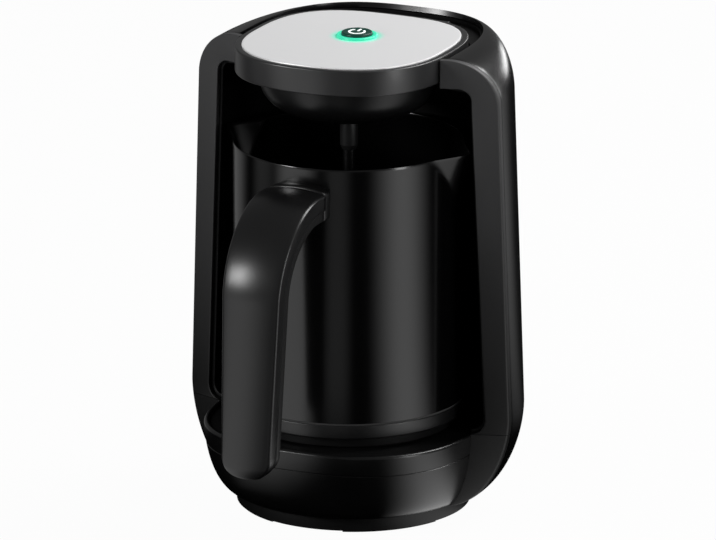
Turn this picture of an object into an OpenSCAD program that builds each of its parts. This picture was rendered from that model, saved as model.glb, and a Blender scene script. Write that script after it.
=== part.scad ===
// Electric turkish coffee maker: a stand with a hinged lid and a lift-out heated pot.
// Millimetres. +Z is up, the front faces -Y, and the origin is on the table under the pot's axis.

/* [Pot] */
// Outside radius of the pot
pot_r = 46.4; // [44:0.2:47.4]
// Height of the pot's rim above the table
rim_z = 151.5; // [142:0.5:156]
// Wall of the pot
pot_wall = 0.8; // [0.6:0.1:1.4]
// How far each pouring lip stands out of the pot's wall
lip_reach = 7.6; // [5:0.2:8]
// Height of a pouring lip
lip_h = 26; // [18:1:32]
// Half the width of a pouring lip at the rim
lip_half_w = 15.3; // [11:0.1:18]
// Height of the pot's floor above its seat
floor_rise = 24; // [23:0.5:32]
// Height of the plastic band round the pot's foot
band_h = 5.6; // [4.6:0.2:8]
// Height of the narrow part of the foot under that band
neck_h = 4.1; // [3.5:0.1:5]
// How far the pot lifts while the lid is shut
pot_lift = 24; // [14:1:26]

/* [Handle] */
// Reach of the handle's outer face from the pot's wall, at its bend
handle_reach = 46.6; // [42:0.2:54]
// Lean of the grip outwards, from its bend down to its end
handle_lean = 5; // [0:0.5:8]
// Thickness of the handle
handle_t = 12.6; // [10:0.2:16]
// Width of the handle at the pot
handle_root_w = 27; // [24:0.5:32]
// Width of the handle at its end
handle_end_w = 21; // [17:0.5:25]
// Drop from the rim to the top of the handle
handle_drop = 7.3; // [6:0.1:12]
// Radius of the handle's bend, at its outer face
handle_bend = 38; // [32:1:44]
// Height of the handle's end above the table
handle_end_z = 36.4; // [32:0.2:46]

/* [Body] */
// Height of the pot's seat above the table
seat_z = 36.2; // [35:0.2:39]
// Gap between a pouring lip's tip and the bay at its roof
bay_gap = 1.6; // [1.2:0.1:3]
// How much wider the bay is at its floor than at its roof, on each side
bay_flare = 5.7; // [2:0.1:7]
// Room between the lifted pot's rim and the bay's roof
roof_gap = 3.9; // [3:0.1:6]
// Radius of the corner between the bay's wall and its roof
bay_corner = 5; // [3:0.5:8]
// Width of the stand beside the bay's floor, out to the widest level
arm_w_low = 9.1; // [8:0.1:11]
// Width of the stand beside the bay's roof, out to the shoulder
arm_w_top = 10.4; // [8.6:0.1:12]
// Height of the widest level
waist_z = 43; // [40:1:50]
// Height of the rounded shoulder
shoulder_h = 19.5; // [16:0.5:24]
// How far the body's foot stands out past the foot ring, at the sides
foot_lip = 1.6; // [1.2:0.1:3]
// How far the body's foot stands out past the foot ring, at the back
foot_lip_back = 1.8; // [1.4:0.1:4]
// Width of the ledge between the lid and the shell, at the sides
ledge_w = 2.6; // [2.4:0.1:4]
// Width of the ledge behind the hinge pin
ledge_back = 9.4; // [8:0.1:11]
// Squareness of the opening in the shell's top; 2 is round
open_n = 2.8; // [2.2:0.1:3.4]
// Wall of the outer shell
shell_wall = 2.2; // [1.6:0.1:2.6]
// Wall of the bay
bay_wall = 2; // [1.6:0.1:2.4]
// Thickness of the arms' front face
face_t = 2.6; // [2:0.1:3.4]
// Setback of the arms' front face from the pot's axis, at the bay's edge
face_back = -5; // [-9:0.5:-3]
// Slope of that face, back for each step out
face_slope = 0.35; // [0.2:0.01:0.5]

/* [Base] */
// Gap between the bowl's rim and the bay's wall at its floor
bowl_inset = 5.3; // [4:0.1:7]
// How far the bowl's rim stands out in front of the pot
bowl_apron = 8.1; // [6:0.1:12]
// Squareness of the bowl's rim; 2 is round
bowl_n = 2.6; // [2:0.1:3]
// Height of the bowl's rim above the table
bowl_rim_z = 36.6; // [35.6:0.2:40]
// Wall of the bowl
bowl_wall = 2.4; // [1.8:0.1:3]
// Height of the foot ring
ring_h = 6.4; // [5:0.2:8]
// Radius of the foot ring
ring_r = 47; // [45.6:0.2:48.4]
// Setback of the foot ring's centre from the pot's axis
ring_back = 4.2; // [3:0.2:5]
// Gap between the table and the foot ring
ground_gap = 1.2; // [0.8:0.1:2]
// Radius of the hole for the cord
cord_hole_r = 3.3; // [2.8:0.1:4]
// Height of that hole above the table
cord_hole_z = 50; // [47:0.5:60]

/* [Lid] */
// How far the lid's sides lie inside the pot's wall
lid_inset = 3.1; // [2:0.1:5]
// How far the lid's front lies inside the pot's wall
lid_inset_front = 2; // [0:0.1:3]
// How far the lid's back lies inside the pot's wall
lid_inset_back = 0.4; // [0:0.1:2]
// Squareness of the lid's front corners; 2 is round
lid_n_front = 2.4; // [2:0.1:3]
// Squareness of the lid's back corners; 2 is round
lid_n_back = 2.9; // [2:0.1:3.2]
// Height of the lid's band
band_z_h = 10.5; // [9.5:0.5:13]
// Width of the black rim round the metal plate
lid_rim = 2.4; // [1.8:0.1:3.2]
// Thickness of the metal plate
plate_t = 1; // [0.6:0.1:1.4]
// How far the dome's mouth under the lid lies inside the pot's wall
dome_inset = 10.4; // [10:0.1:13]
// Depth of the dome under the lid's band
dome_depth = 20; // [16:0.2:22]
// Squareness of the dome's side view; 2 is round
dome_n = 2.9; // [2:0.1:4]
// Wall of the dome
dome_wall = 2; // [1.4:0.1:2.4]
// Thickness of the bay's roof, which the lid rests on
roof_t = 1.6; // [1.2:0.1:2.4]
// Length of the bare probe below the dome
probe_h = 35.6; // [28:0.2:40]
// Radius of the probe
probe_r = 2.5; // [2:0.1:2.8]
// Radius of the probe's holder
holder_r = 3.6; // [3.4:0.1:4.6]
// Length of the holder below the dome
holder_h = 14.4; // [10:0.2:18]
// Radius of the hinge pin
pin_r = 1.5; // [1.2:0.1:1.8]
// Half the width of the hinge's barrel
barrel_half_w = 19.8; // [16:0.2:21]
// Distance from the lid's back to the hinge pin
hinge_gap = 6.6; // [5.6:0.2:7]
// How far the lid opens, in degrees
lid_open = 80; // [60:1:85]

/* [Button] */
// Radius of the power button
button_r = 6.2; // [5.4:0.1:7]
// How far the button stands above the plate
button_proud = 1.9; // [1.3:0.1:2.6]
// Travel of the button
button_travel = 0.8; // [0.5:0.1:1]
// Width of the lit ring round the button
glow_w = 1.6; // [1.2:0.1:2.2]
// Distance of the button behind the pot's axis
button_y = 7.5; // [4:0.5:10]

/* [Clearances] */
// Gap between moulded pieces that meet
joint_gap = 0.2; // [0.1:0.05:0.3]
// Gap round the lid
lid_gap = 0.7; // [0.6:0.1:1]
// Radial clearance of a running fit: the hinge pin and the button's stem
running_fit = 0.06; // [0.02:0.01:0.1]
// Radial clearance of a screw or a fixed pin in its hole
fixed_fit = 0.05; // [0.02:0.01:0.1]

/* [Hidden] */
cut = 0.5;          // how far a cutting shape runs past what it cuts

black_gloss = [0.03, 0.03, 0.032];
black_satin = [0.055, 0.055, 0.058];
grey_satin = [0.10, 0.10, 0.105];
steel = [0.72, 0.73, 0.74];
board_green = [0.05, 0.28, 0.14];
copper_tone = [0.78, 0.6, 0.28];
rubber_grey = [0.16, 0.16, 0.16];
glow_green = [0.2, 0.9, 0.6];

// Plan of the stand, from the pot outwards, and its heights, from the pot up
roof_z = rim_z + pot_lift + roof_gap;
lid_z = roof_z + roof_t + joint_gap;
bay_r_top = pot_r + lip_reach + bay_gap;
bay_r_low = bay_r_top + bay_flare;
body_half_w = bay_r_low + arm_w_low;
neck_half_w = bay_r_top + arm_w_top;
bowl_half_w = bay_r_low - bowl_inset;
bowl_front = pot_r + bowl_apron;
foot_half_w = ring_r + foot_lip;
foot_back = ring_back + ring_r + foot_lip_back;
lid_half_w = pot_r - lid_inset;
lid_front = pot_r - lid_inset_front;
lid_back = pot_r - lid_inset_back;
dome_r = pot_r - dome_inset;
open_half_w = lid_half_w + ledge_w;
open_back = lid_back + hinge_gap + ledge_back;
handle_out = pot_r + handle_reach;

// Levels of the body
plate_sink = 0.6;   // how far the metal plate sits down in the rim
top_z = lid_z + band_z_h + plate_t - plate_sink;
shell_top_z = top_z - 1;
deck_top_z = shell_top_z - 4;
deck_t = 3.6;
shoulder_z = shell_top_z - shoulder_h;
shell_foot_z = ring_h + joint_gap;
seat_h = 0.8;
floor_z = seat_z - seat_h;
floor_t = 2.2;
frame_foot_z = bowl_rim_z + joint_gap;
bay_foot_r = 6;     // radius of the corner between the bay's wall and its floor

// Hinge
hinge_y = lid_back + hinge_gap;
hinge_r = pin_r + 1.5;
hinge_z = deck_top_z - 1;
lug_w = 4.2;
lug_x = barrel_half_w + 0.4;
notch_back = hinge_y + hinge_r + 0.6;

function signed_power(v, e) = sign(v) * pow(abs(v), e);
// A closed superellipse: half width a, front and back reach, front and back exponent
function egg(a, front, back, nf, nb, steps = 96) = [for (i = [0 : steps - 1])
    let (t = 360 * i / steps, n = sin(t) < 0 ? nf : nb)
    [a * signed_power(cos(t), 2 / n), (sin(t) < 0 ? front : back) * signed_power(sin(t), 2 / n)]];
function blend(a, b, k) = a + (b - a) * k;

// The body's outline at a height: half width, back reach, squareness
belly = 1.8;
function taper(z) = let (k = (z - shell_foot_z) / (waist_z - shell_foot_z))
    pow(max(0, 1 - pow(1 - k, belly)), 1 / belly);
function lean(z) = (z - waist_z) / (shoulder_z - waist_z);
function bend(z) = 1 - sqrt(max(0, 1 - pow((z - shoulder_z) / shoulder_h, 2)));
function outline(z) =
    z < waist_z ? let (k = taper(z)) [blend(foot_half_w, body_half_w, k), blend(foot_back, body_half_w,
        k), 2] :
    z < shoulder_z ? let (w = blend(body_half_w, neck_half_w, lean(z))) [w, w, 2] :
    let (k = bend(z)) [blend(neck_half_w, open_half_w, k), blend(neck_half_w, open_back, k), blend(2,
        open_n, k)];
low_levels = [for (k = [0, 0.02, 0.06, 0.13, 0.23, 0.36, 0.52, 0.7, 0.86])
    blend(shell_foot_z, waist_z, k)];
side_levels = [for (k = [0, 0.35, 0.7]) blend(waist_z, shoulder_z, k)];
bend_levels = [for (t = [0 : 9 : 90]) shoulder_z + shoulder_h * sin(t)];
body_levels = concat(low_levels, side_levels, bend_levels);

// Where the arms' front face lies at a distance x from the middle
function face_y(x) = face_back + face_slope * (x - bay_r_top);
function bay_r(z) = blend(bay_r_low, bay_r_top, (z - floor_z) / (roof_z - floor_z));

// One ring of the shell, from the right arm round the back to the left arm
shell_steps = 44;
function shell_ring(z, inset, drop) = let (o = outline(z), a = o[0] - inset, b = o[1] - inset,
        y = face_y(o[0]) + face_t + joint_gap,
        start = sign(y) * asin(pow(abs(y) / (y < 0 ? o[0] : o[1]), o[2] / 2)))
    [for (i = [0 : shell_steps]) let (t = blend(start, 180 - start, i / shell_steps))
        [a * signed_power(cos(t), 2 / o[2]), (sin(t) < 0 ? a : b) * signed_power(sin(t), 2 / o[2]),
            z - drop]];
function bend_angle(z) = z <= shoulder_z ? 0 : asin(min(1, (z - shoulder_z) / shoulder_h));

// A closed sheet between an outer and an inner stack of open rings
module sheet_between(outer, inner) {
    rows = len(outer);
    k = len(outer[0]);
    points = [for (r = outer) each r, for (r = inner) each r];
    base = rows * k;
    quads = [
        for (r = [0 : rows - 2], i = [0 : k - 2]) [r * k + i, (r + 1) * k + i, (r + 1) * k + i + 1,
            r * k + i + 1],
        for (r = [0 : rows - 2], i = [0 : k - 2])
            [base + r * k + i, base + r * k + i + 1, base + (r + 1) * k + i + 1, base + (r + 1) * k + i],
        for (i = [0 : k - 2]) [i, i + 1, base + i + 1, base + i],
        for (i = [0 : k - 2]) let (t = (rows - 1) * k) [t + i, base + t + i, base + t + i + 1, t + i + 1],
        for (r = [0 : rows - 2]) [r * k, base + r * k, base + (r + 1) * k, (r + 1) * k],
        for (r = [0 : rows - 2]) let (e = k - 1)
            [r * k + e, (r + 1) * k + e, base + (r + 1) * k + e, base + r * k + e]];
    polyhedron(points, [for (q = quads) each [[q[0], q[1], q[2]], [q[0], q[2], q[3]]]]);
}

// A solid through a stack of closed rings with equal counts
module loft(rings) {
    rows = len(rings);
    k = len(rings[0]);
    sides = [for (r = [0 : rows - 2], i = [0 : k - 1]) let (j = (i + 1) % k)
        each [[r * k + i, (r + 1) * k + i, (r + 1) * k + j], [r * k + i, (r + 1) * k + j, r * k + j]]];
    bottom = [[for (i = [0 : k - 1]) i]];
    top = [[for (i = [k - 1 : -1 : 0]) (rows - 1) * k + i]];
    polyhedron([for (r = rings) each r], concat(sides, bottom, top));
}
function at_z(points, z) = [for (p = points) [p[0], p[1], z]];

// A wire of equal straight steps, as short rods with round joints
module wire(path, r) {
    for (i = [0 : len(path) - 2]) let (d = path[i + 1] - path[i], l = norm(d)) translate(path[i])
        rotate([0, acos(d[2] / l), atan2(d[1], d[0])]) cylinder(h = l, r = r, $fn = 12);
    for (i = [1 : len(path) - 2]) translate(path[i]) sphere(r = r * 1.03, $fn = 12);
}

// Everything behind the arms' front face, set back by a distance
module behind_face(z0, z1, setback = 0) {
    far = 2 * body_half_w;
    translate([0, 0, z0]) linear_extrude(z1 - z0)
        polygon([[0, face_y(0) + setback], [far, face_y(far) + setback], [far, far], [-far, far],
            [-far, face_y(far) + setback]]);
}
module face_slab(z0, z1) {
    difference() {
        behind_face(z0, z1);
        behind_face(z0 - cut, z1 + cut, face_t);
    }
}
// The body as one full solid through some levels, used to trim the arms' faces
module body_core(levels) {
    loft([for (z = levels) let (o = outline(z)) at_z(egg(o[0], o[0], o[1], o[2], o[2], 64), z)]);
}
module lid_plan(grow) {
    polygon(egg(lid_half_w + grow, lid_front + grow, lid_back + grow, lid_n_front, lid_n_back));
}
module open_plan(grow) {
    polygon(egg(open_half_w + grow, open_half_w + grow, open_back + grow, open_n, open_n));
}
// The bay as a turned space, with a rounded roof and a rounded foot
module bay_space(z0) {
    corner = [for (t = [0 : 15 : 90]) [bay_r(roof_z) - bay_corner * (1 - cos(t)),
        roof_z - bay_corner * (1 - sin(t))]];
    foot = [for (t = [0 : 15 : 90]) [bay_r(z0 + bay_foot_r) - bay_foot_r * (1 - sin(t)),
        z0 + bay_foot_r * (1 - cos(t))]];
    low = bay_r(z0 + bay_foot_r) - bay_foot_r;
    rotate_extrude($fn = 120) polygon(concat([[0, z0 - cut], [low, z0 - cut]], foot, corner, [[0, roof_z]]));
}
module tube(h, outer, inner, n = 64) {
    difference() {
        cylinder(h = h, r = outer, $fn = n);
        translate([0, 0, -cut]) cylinder(h = h + 2 * cut, r = inner, $fn = n);
    }
}
module nut(h, outer, inner) {
    difference() {
        cylinder(h = h, r = outer, $fn = 6);
        translate([0, 0, -cut]) cylinder(h = h + 2 * cut, r = inner, $fn = 32);
    }
}
// A screw that points up, with its head at z = 0
module screw(head_r, head_h, r, length) {
    cylinder(h = head_h, r = head_r, $fn = 32);
    translate([0, 0, head_h]) cylinder(h = length, r = r, $fn = 24);
}

// ---------------------------------------------------------------- body
gland_r = cord_hole_r + 1.7;
gland_y = outline(cord_hole_z)[1];
gland_in_y = gland_y - shell_wall - 2.4;    // the gland's inner end
module outer_shell() {
    outer = [for (z = body_levels) shell_ring(z, 0, 0)];
    inner = [for (z = body_levels) shell_ring(z, shell_wall * cos(bend_angle(z)),
        shell_wall * sin(bend_angle(z)))];
    color(black_gloss) difference() {
        sheet_between(outer, inner);
        translate([0, body_half_w / 2, cord_hole_z]) rotate([-90, 0, 0])
            cylinder(h = body_half_w, r = gland_r + fixed_fit, $fn = 48);
    }
}

module front_frame() {
    arm_levels = concat([frame_foot_z], [for (z = body_levels) if (z > frame_foot_z + 0.5) z]);
    wall_top = lid_z - 0.2;
    color(grey_satin) {
        difference() {
            intersection() {
                translate([0, 0, frame_foot_z]) cylinder(h = wall_top - frame_foot_z,
                    r1 = bay_r(frame_foot_z) + bay_wall, r2 = bay_r(wall_top) + bay_wall, $fn = 120);
                behind_face(frame_foot_z, wall_top, face_t - 0.01);
            }
            bay_space(frame_foot_z);
            translate([0, 0, roof_z - cut]) linear_extrude(roof_t + 2 * cut) lid_plan(-1.2);
        }
        difference() {
            intersection() {
                body_core(arm_levels);
                face_slab(frame_foot_z, shell_top_z + cut);
            }
            bay_space(frame_foot_z);
            translate([0, 0, roof_z - cut]) linear_extrude(2 * band_z_h) lid_plan(lid_gap);
        }
    }
}

module top_deck() {
    wall_z = lid_z - 0.2 + joint_gap;
    color(black_satin) difference() {
        union() {
            intersection() {
                union() {
                    translate([0, 0, deck_top_z - deck_t]) linear_extrude(deck_t) difference() {
                        open_plan(0.2);
                        lid_plan(lid_gap);
                    }
                    translate([0, 0, deck_top_z - cut]) linear_extrude(shell_top_z - shell_wall - joint_gap
                        - deck_top_z + cut) difference() {
                        open_plan(-0.1);
                        open_plan(-1.1);
                    }
                    translate([0, 0, wall_z]) linear_extrude(deck_top_z - wall_z) difference() {
                        lid_plan(lid_gap + 1.4);
                        lid_plan(lid_gap);
                    }
                }
                behind_face(roof_z, top_z, face_t + joint_gap);
            }
            intersection() {
                for (side = [-1, 1]) translate([side * (lug_x + lug_w / 2) - lug_w / 2,
                    hinge_y - hinge_r - 0.6,
                        hinge_z - hinge_r]) cube([lug_w, 2 * hinge_r + 1.2,
                            hinge_r + deck_top_z - hinge_z - 0.01]);
                translate([0, 0, roof_z]) linear_extrude(band_z_h) open_plan(0.2);
            }
        }
        translate([-lug_x, lid_back - 8, wall_z - cut]) cube([2 * lug_x, notch_back - lid_back + 8,
            band_z_h + cut]);
        translate([-lug_x - lug_w - cut, hinge_y, hinge_z]) rotate([0, 90, 0])
            cylinder(h = 2 * (lug_x + lug_w + cut), r = pin_r + fixed_fit, $fn = 32);
    }
}

module hinge_pin() {
    color(steel) translate([-lug_x - lug_w, hinge_y, hinge_z]) rotate([0, 90, 0])
        cylinder(h = 2 * (lug_x + lug_w), r = pin_r, $fn = 32);
}

// ---------------------------------------------------------------- base
bowl_centre = ring_back;
function bowl_ring(z, inset) = let (k = taper_low(z))
    at_z(egg(blend(ring_r + 1, bowl_half_w, k) - inset, blend(ring_r + 1, bowl_front + bowl_centre,
        k) - inset,
        blend(ring_r + 1, bowl_half_w, k) - inset, blend(2, bowl_n, k), 2, 72), z);
function taper_low(z) = let (k = (z - shell_foot_z) / (bowl_rim_z - shell_foot_z))
    pow(max(0, 1 - pow(max(0, 1 - k), belly)), 1 / belly);
bowl_levels = [for (k = [0, 0.02, 0.06, 0.13, 0.23, 0.36, 0.52, 0.7, 0.86, 1]) blend(shell_foot_z,
    bowl_rim_z, k)];
module bowl_solid(inset) {
    translate([0, bowl_centre, 0]) loft([for (z = bowl_levels) bowl_ring(z, inset)]);
}
module base_bowl() {
    strip_levels = concat([for (z = body_levels) if (z < bowl_rim_z - 0.5) z], [bowl_rim_z]);
    color(black_satin) difference() {
        union() {
            difference() {
                bowl_solid(0);
                behind_face(0, bowl_rim_z + cut, face_t - 0.01);
            }
            intersection() {
                body_core(strip_levels);
                face_slab(shell_foot_z, bowl_rim_z + cut);
            }
        }
        translate([0, bowl_centre, 0]) loft([for (i = [0 : len(bowl_levels) - 1])
            [for (p = bowl_ring(bowl_levels[i], bowl_wall)) [p[0], p[1],
                i == len(bowl_levels)
                    - 1 ? bowl_rim_z + cut : i == 0 ? shell_foot_z - cut : bowl_levels[i]]]]);
    }
}

// The floor of the bay, which carries the pot and the base's half of the coupler
tower_r = 14;
heater_r = pot_r - 13.4;
element_r = heater_r - 9;
tower_hole_r = 11.2;
module deck_outline(grow) {
    translate([0, bowl_centre]) polygon([for (p = bowl_ring(bowl_rim_z - 3,
        bowl_wall + joint_gap - grow)) [p[0], p[1]]]);
}
module pot_deck() {
    lower = floor_z - floor_t;
    color(black_satin) difference() {
        union() {
            translate([0, 0, lower]) linear_extrude(floor_t) union() {
                deck_outline(0);
                intersection() {
                    circle(r = bay_r(floor_z) - bay_foot_r + 3, $fn = 120);
                    behind_plan(face_t + joint_gap);
                }
            }
            translate([0, 0, floor_z - 0.01]) tube(seat_h, pot_r - 5.4, heater_r, 96);
            for (a = [45 : 90 : 315]) rotate(a) translate([board_post_r, 0, board_top_z + joint_gap])
                cylinder(h = lower - board_top_z - joint_gap + 0.01, r = 3, $fn = 32);
            for (p = bottom_screw_at) translate([p[0], p[1], ring_h + 0.3])
                cylinder(h = lower - ring_h - 0.29, r = 2.6, $fn = 32);
        }
        for (p = bottom_screw_at) translate([p[0], p[1], ring_h - cut]) cylinder(h = 9,
            r = 1.5 + fixed_fit, $fn = 24);
        translate([0, 0, lower - cut]) cylinder(h = 8, r = tower_hole_r + joint_gap, $fn = 64);
        for (a = [45 : 90 : 315]) rotate(a) translate([board_post_r, 0, board_top_z - cut])
            cylinder(h = 7, r = board_screw_r + fixed_fit, $fn = 24);
    }
}
module behind_plan(setback) {
    far = 2 * body_half_w;
    polygon([[0, face_y(0) + setback], [far, face_y(far) + setback], [far, far], [-far, far],
        [-far, face_y(far) + setback]]);
}

coupler_top_z = seat_z + 8.6;
module base_coupler() {
    flange_z = floor_z - floor_t - 1.6 - joint_gap;
    color(grey_satin) rotate_extrude($fn = 64) polygon([[2.6, flange_z], [tower_r + 3, flange_z],
        [tower_r + 3, flange_z + 1.6], [tower_hole_r, flange_z + 1.6], [tower_hole_r, coupler_top_z - 1],
        [tower_hole_r - 1, coupler_top_z], [9.4, coupler_top_z], [9.4, coupler_top_z - 5], [8.2,
            coupler_top_z - 5],
        [8.2, coupler_top_z], [5.4, coupler_top_z], [5.4, coupler_top_z - 5], [2.6, coupler_top_z - 5]]);
}
module coupler_pin() {
    color(copper_tone) {
        translate([0, 0, floor_z - 7]) cylinder(h = coupler_top_z - floor_z + 5.5, r = 2.4, $fn = 32);
        translate([0, 0, coupler_top_z - 4.8]) tube(3.6, 9.2, 8.4);
    }
}

// The ring that the base stands on, with four raised segments under it
module foot_ring() {
    color(grey_satin) translate([0, ring_back, 0]) {
        translate([0, 0, ground_gap]) tube(ring_h - ground_gap, ring_r, ring_r - 2.2, 120);
        for (a = [45 : 90 : 315]) intersection() {
            translate([0, 0, ground_gap - 0.7]) tube(0.8, ring_r - 0.8, ring_r - 2.2, 120);
            rotate(a) translate([0, 0, -1]) linear_extrude(6) polygon([[0, 0], [80, -38], [80, 38]]);
        }
    }
}
plate_r = ring_r - 2.2 - joint_gap;
bottom_screw_at = [[plate_r - 3.6, ring_back], [3.6 - plate_r, ring_back], [0, ring_back + plate_r - 5.8]];
module bottom_plate() {
    color(black_satin) translate([0, ring_back, ground_gap]) difference() {
        union() {
            cylinder(h = 2, r = plate_r, $fn = 96);
            translate([0, 0, 1.9]) tube(ring_h - ground_gap - 1.9, plate_r, plate_r - 2, 96);
        }
        for (p = pad_at) translate([p[0], p[1] - ring_back, -cut]) cylinder(h = 1.3 + cut,
            r = pad_r + fixed_fit, $fn = 48);
        for (p = bottom_screw_at) translate([p[0], p[1] - ring_back, -cut])
            cylinder(h = 3, r = 1.5 + fixed_fit, $fn = 24);
        for (side = [-1, 1], x = [12 : 6 : 24]) translate([side * x - 1, -9, -cut]) cube([2, 18, 3]);
    }
}
pad_r = 6;
pad_x = plate_r - 19.6;
pad_y = plate_r - 19.8;
pad_at = [[pad_x, ring_back + pad_y], [-pad_x, ring_back + pad_y], [-pad_x, ring_back - pad_y],
    [pad_x, ring_back - pad_y], [0, 0]];
module rubber_feet() {
    color(rubber_grey) for (p = pad_at) translate([p[0], p[1], 0])
        cylinder(h = ground_gap + 1.3, r = pad_r, $fn = 48);
}
module bottom_screws() {
    color(steel) for (p = bottom_screw_at) translate([p[0], p[1], ground_gap - 1.1]) screw(2.6, 1, 1.5, 12);
}

// ---------------------------------------------------------------- electrics in the base
board_z = 13;
board_t = 1.6;
board_top_z = board_z + board_t;
board_r = plate_r - 7.1;
board_post_r = board_r - 3.5;
board_screw_r = 1.3;
module power_board() {
    color(board_green) translate([0, 0, board_z]) difference() {
        cylinder(h = board_t, r = board_r, $fn = 96);
        for (a = [45 : 90 : 315]) rotate(a) translate([board_post_r, 0, -cut])
            cylinder(h = board_t + 2 * cut, r = board_screw_r + fixed_fit, $fn = 24);
        translate([-15, board_r - 7.5, -cut]) cube([30, 12, board_t + 2 * cut]);
    }
}
module board_parts() {
    z = board_top_z + 0.02;
    color(black_satin) {
        translate([-30, -9, z]) cube([19, 15, 14]);
        translate([-9, -31, z]) cube([18, 11, 12]);
        translate([13, -16, z]) cube([12, 9, 8]);
    }
    color(steel) {
        translate([24, 6, z]) cylinder(h = 12, r = 5, $fn = 32);
        translate([12, 13, z]) cylinder(h = 9, r = 4, $fn = 32);
        translate([-12, 18, z]) cube([20, 7, 9]);
    }
}
module board_screws() {
    color(steel) for (a = [45 : 90 : 315]) rotate(a) translate([board_post_r, 0, board_z - 1.4])
        screw(2.6, 1.2, board_screw_r, 6.8);
}

module cord_gland() {
    color(black_satin) translate([0, gland_in_y, cord_hole_z]) rotate([-90, 0, 0]) difference() {
        union() {
            cylinder(h = gland_y - gland_in_y + 1.4, r = gland_r, $fn = 48);
            translate([0, 0, gland_y - gland_in_y + 0.4]) cylinder(h = 1.7, r = gland_r + 2.2, $fn = 48);
        }
        translate([0, 0, -cut]) cylinder(h = gland_y - gland_in_y + 4, r = cord_hole_r, $fn = 48);
    }
}
module gland_nut() {
    color(grey_satin) translate([0, gland_in_y + 0.1, cord_hole_z]) rotate([-90, 0, 0])
        nut(1.6, gland_r + 2, gland_r + fixed_fit);
}
harness_r = 1.1;
// A point midway between the bay's wall and the shell, at a distance x from the middle
function behind_bay(x, z) = let (r = (bay_r(z) + bay_wall + outline(z)[1] - shell_wall) / 2)
    [x, sqrt(r * r - x * x), z];
module body_harness() {
    z = board_top_z + harness_r + 0.1;
    turn_y = outline(24)[1] - shell_wall - 5.2;
    gland_end = gland_in_y - harness_r - 0.3;
    color(rubber_grey) {
        wire([[9, board_r - 10.5, z], [9, plate_r + 3.4, z + 4], [11, turn_y, 24],
            behind_bay(12, frame_foot_z - 2), behind_bay(12, 100), behind_bay(14, shoulder_z - 1.6)],
                harness_r);
        wire([[-9, board_r - 10.5, z], [-9, plate_r + 3.4, z + 4], [-11, turn_y, 24],
            behind_bay(-11, frame_foot_z - 2), [-9, gland_end, cord_hole_z - 8], [-3, gland_end,
                cord_hole_z - 1]],
            harness_r);
    }
}

// ---------------------------------------------------------------- lid
lid_wall = 1.8;
deck_z = lid_z + band_z_h - 2.6;     // the moulded deck under the metal plate
plate_z = lid_z + band_z_h - plate_sink;
lid_post_z = lid_z + 2.4;
post_x = lid_half_w - 15.3;
post_back = lid_back - 15;
post_front = lid_front - 15.8;
dome_post_at = [[post_x, post_back], [-post_x, post_back], [post_x, -post_front], [-post_x, -post_front]];
board_post_at = [[12, button_y + 8], [-12, button_y + 8], [12, button_y - 8], [-12, button_y - 8]];
control_z = plate_z - 9;
control_t = 1.6;
module lid_shell() {
    color(grey_satin) difference() {
        union() {
            translate([0, 0, lid_z]) linear_extrude(band_z_h) difference() {
                lid_plan(0);
                lid_plan(-lid_wall);
            }
            translate([0, 0, deck_z]) linear_extrude(lid_z + band_z_h - deck_z) difference() {
                lid_plan(-lid_wall + 0.01);
                lid_plan(-lid_rim);
            }
            translate([0, 0, deck_z]) linear_extrude(plate_z - joint_gap / 2 - deck_z)
                lid_plan(-lid_wall + 0.01);
            for (p = dome_post_at) translate([p[0], p[1], lid_post_z + joint_gap])
                cylinder(h = deck_z - lid_post_z, r = 3, $fn = 32);
            for (p = board_post_at) translate([p[0], p[1], control_z + control_t + 0.02])
                cylinder(h = deck_z - control_z - control_t, r = 2.2, $fn = 32);
            translate([-barrel_half_w, hinge_y, hinge_z]) rotate([0, 90, 0])
                cylinder(h = 2 * barrel_half_w, r = hinge_r, $fn = 48);
            translate([-barrel_half_w, lid_back - 2.6, hinge_z - 1.6])
                cube([2 * barrel_half_w, hinge_y - lid_back + 2.6, 3.2]);
        }
        translate([-barrel_half_w - cut, hinge_y, hinge_z]) rotate([0, 90, 0])
            cylinder(h = 2 * (barrel_half_w + cut), r = pin_r + running_fit, $fn = 48);
        translate([0, button_y, deck_z - cut]) cylinder(h = 4, r = glow_out_r + fixed_fit, $fn = 64);
        for (p = dome_post_at) translate([p[0], p[1], lid_post_z]) cylinder(h = 4, r = 1.2 + fixed_fit,
            $fn = 24);
        for (p = board_post_at) translate([p[0], p[1], control_z]) cylinder(h = 5, r = 1 + fixed_fit,
            $fn = 24);
    }
}
glow_in_r = button_r + 0.3;
glow_out_r = button_r + 0.3 + glow_w;
module top_plate() {
    color(steel) translate([0, 0, plate_z]) linear_extrude(plate_t) difference() {
        lid_plan(-lid_rim - joint_gap);
        translate([0, button_y]) circle(r = glow_out_r + fixed_fit, $fn = 64);
    }
}
stem_r = 3;
module light_ring() {
    color(glow_green) translate([0, button_y, 0]) rotate_extrude($fn = 64) polygon([
        [stem_r + running_fit, plate_z - 4.9], [glow_out_r, plate_z - 4.9], [glow_out_r,
            plate_z + plate_t + 0.6],
        [glow_out_r - 0.4, plate_z + plate_t + 0.9], [glow_in_r, plate_z + plate_t + 0.9], [glow_in_r,
            plate_z - 2.6],
        [stem_r + running_fit, plate_z - 2.6]]);
}
// The cover under the lid: a flat flange and a turned bowl
dome_bottom_z = lid_z + 0.6 - dome_depth;
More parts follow.
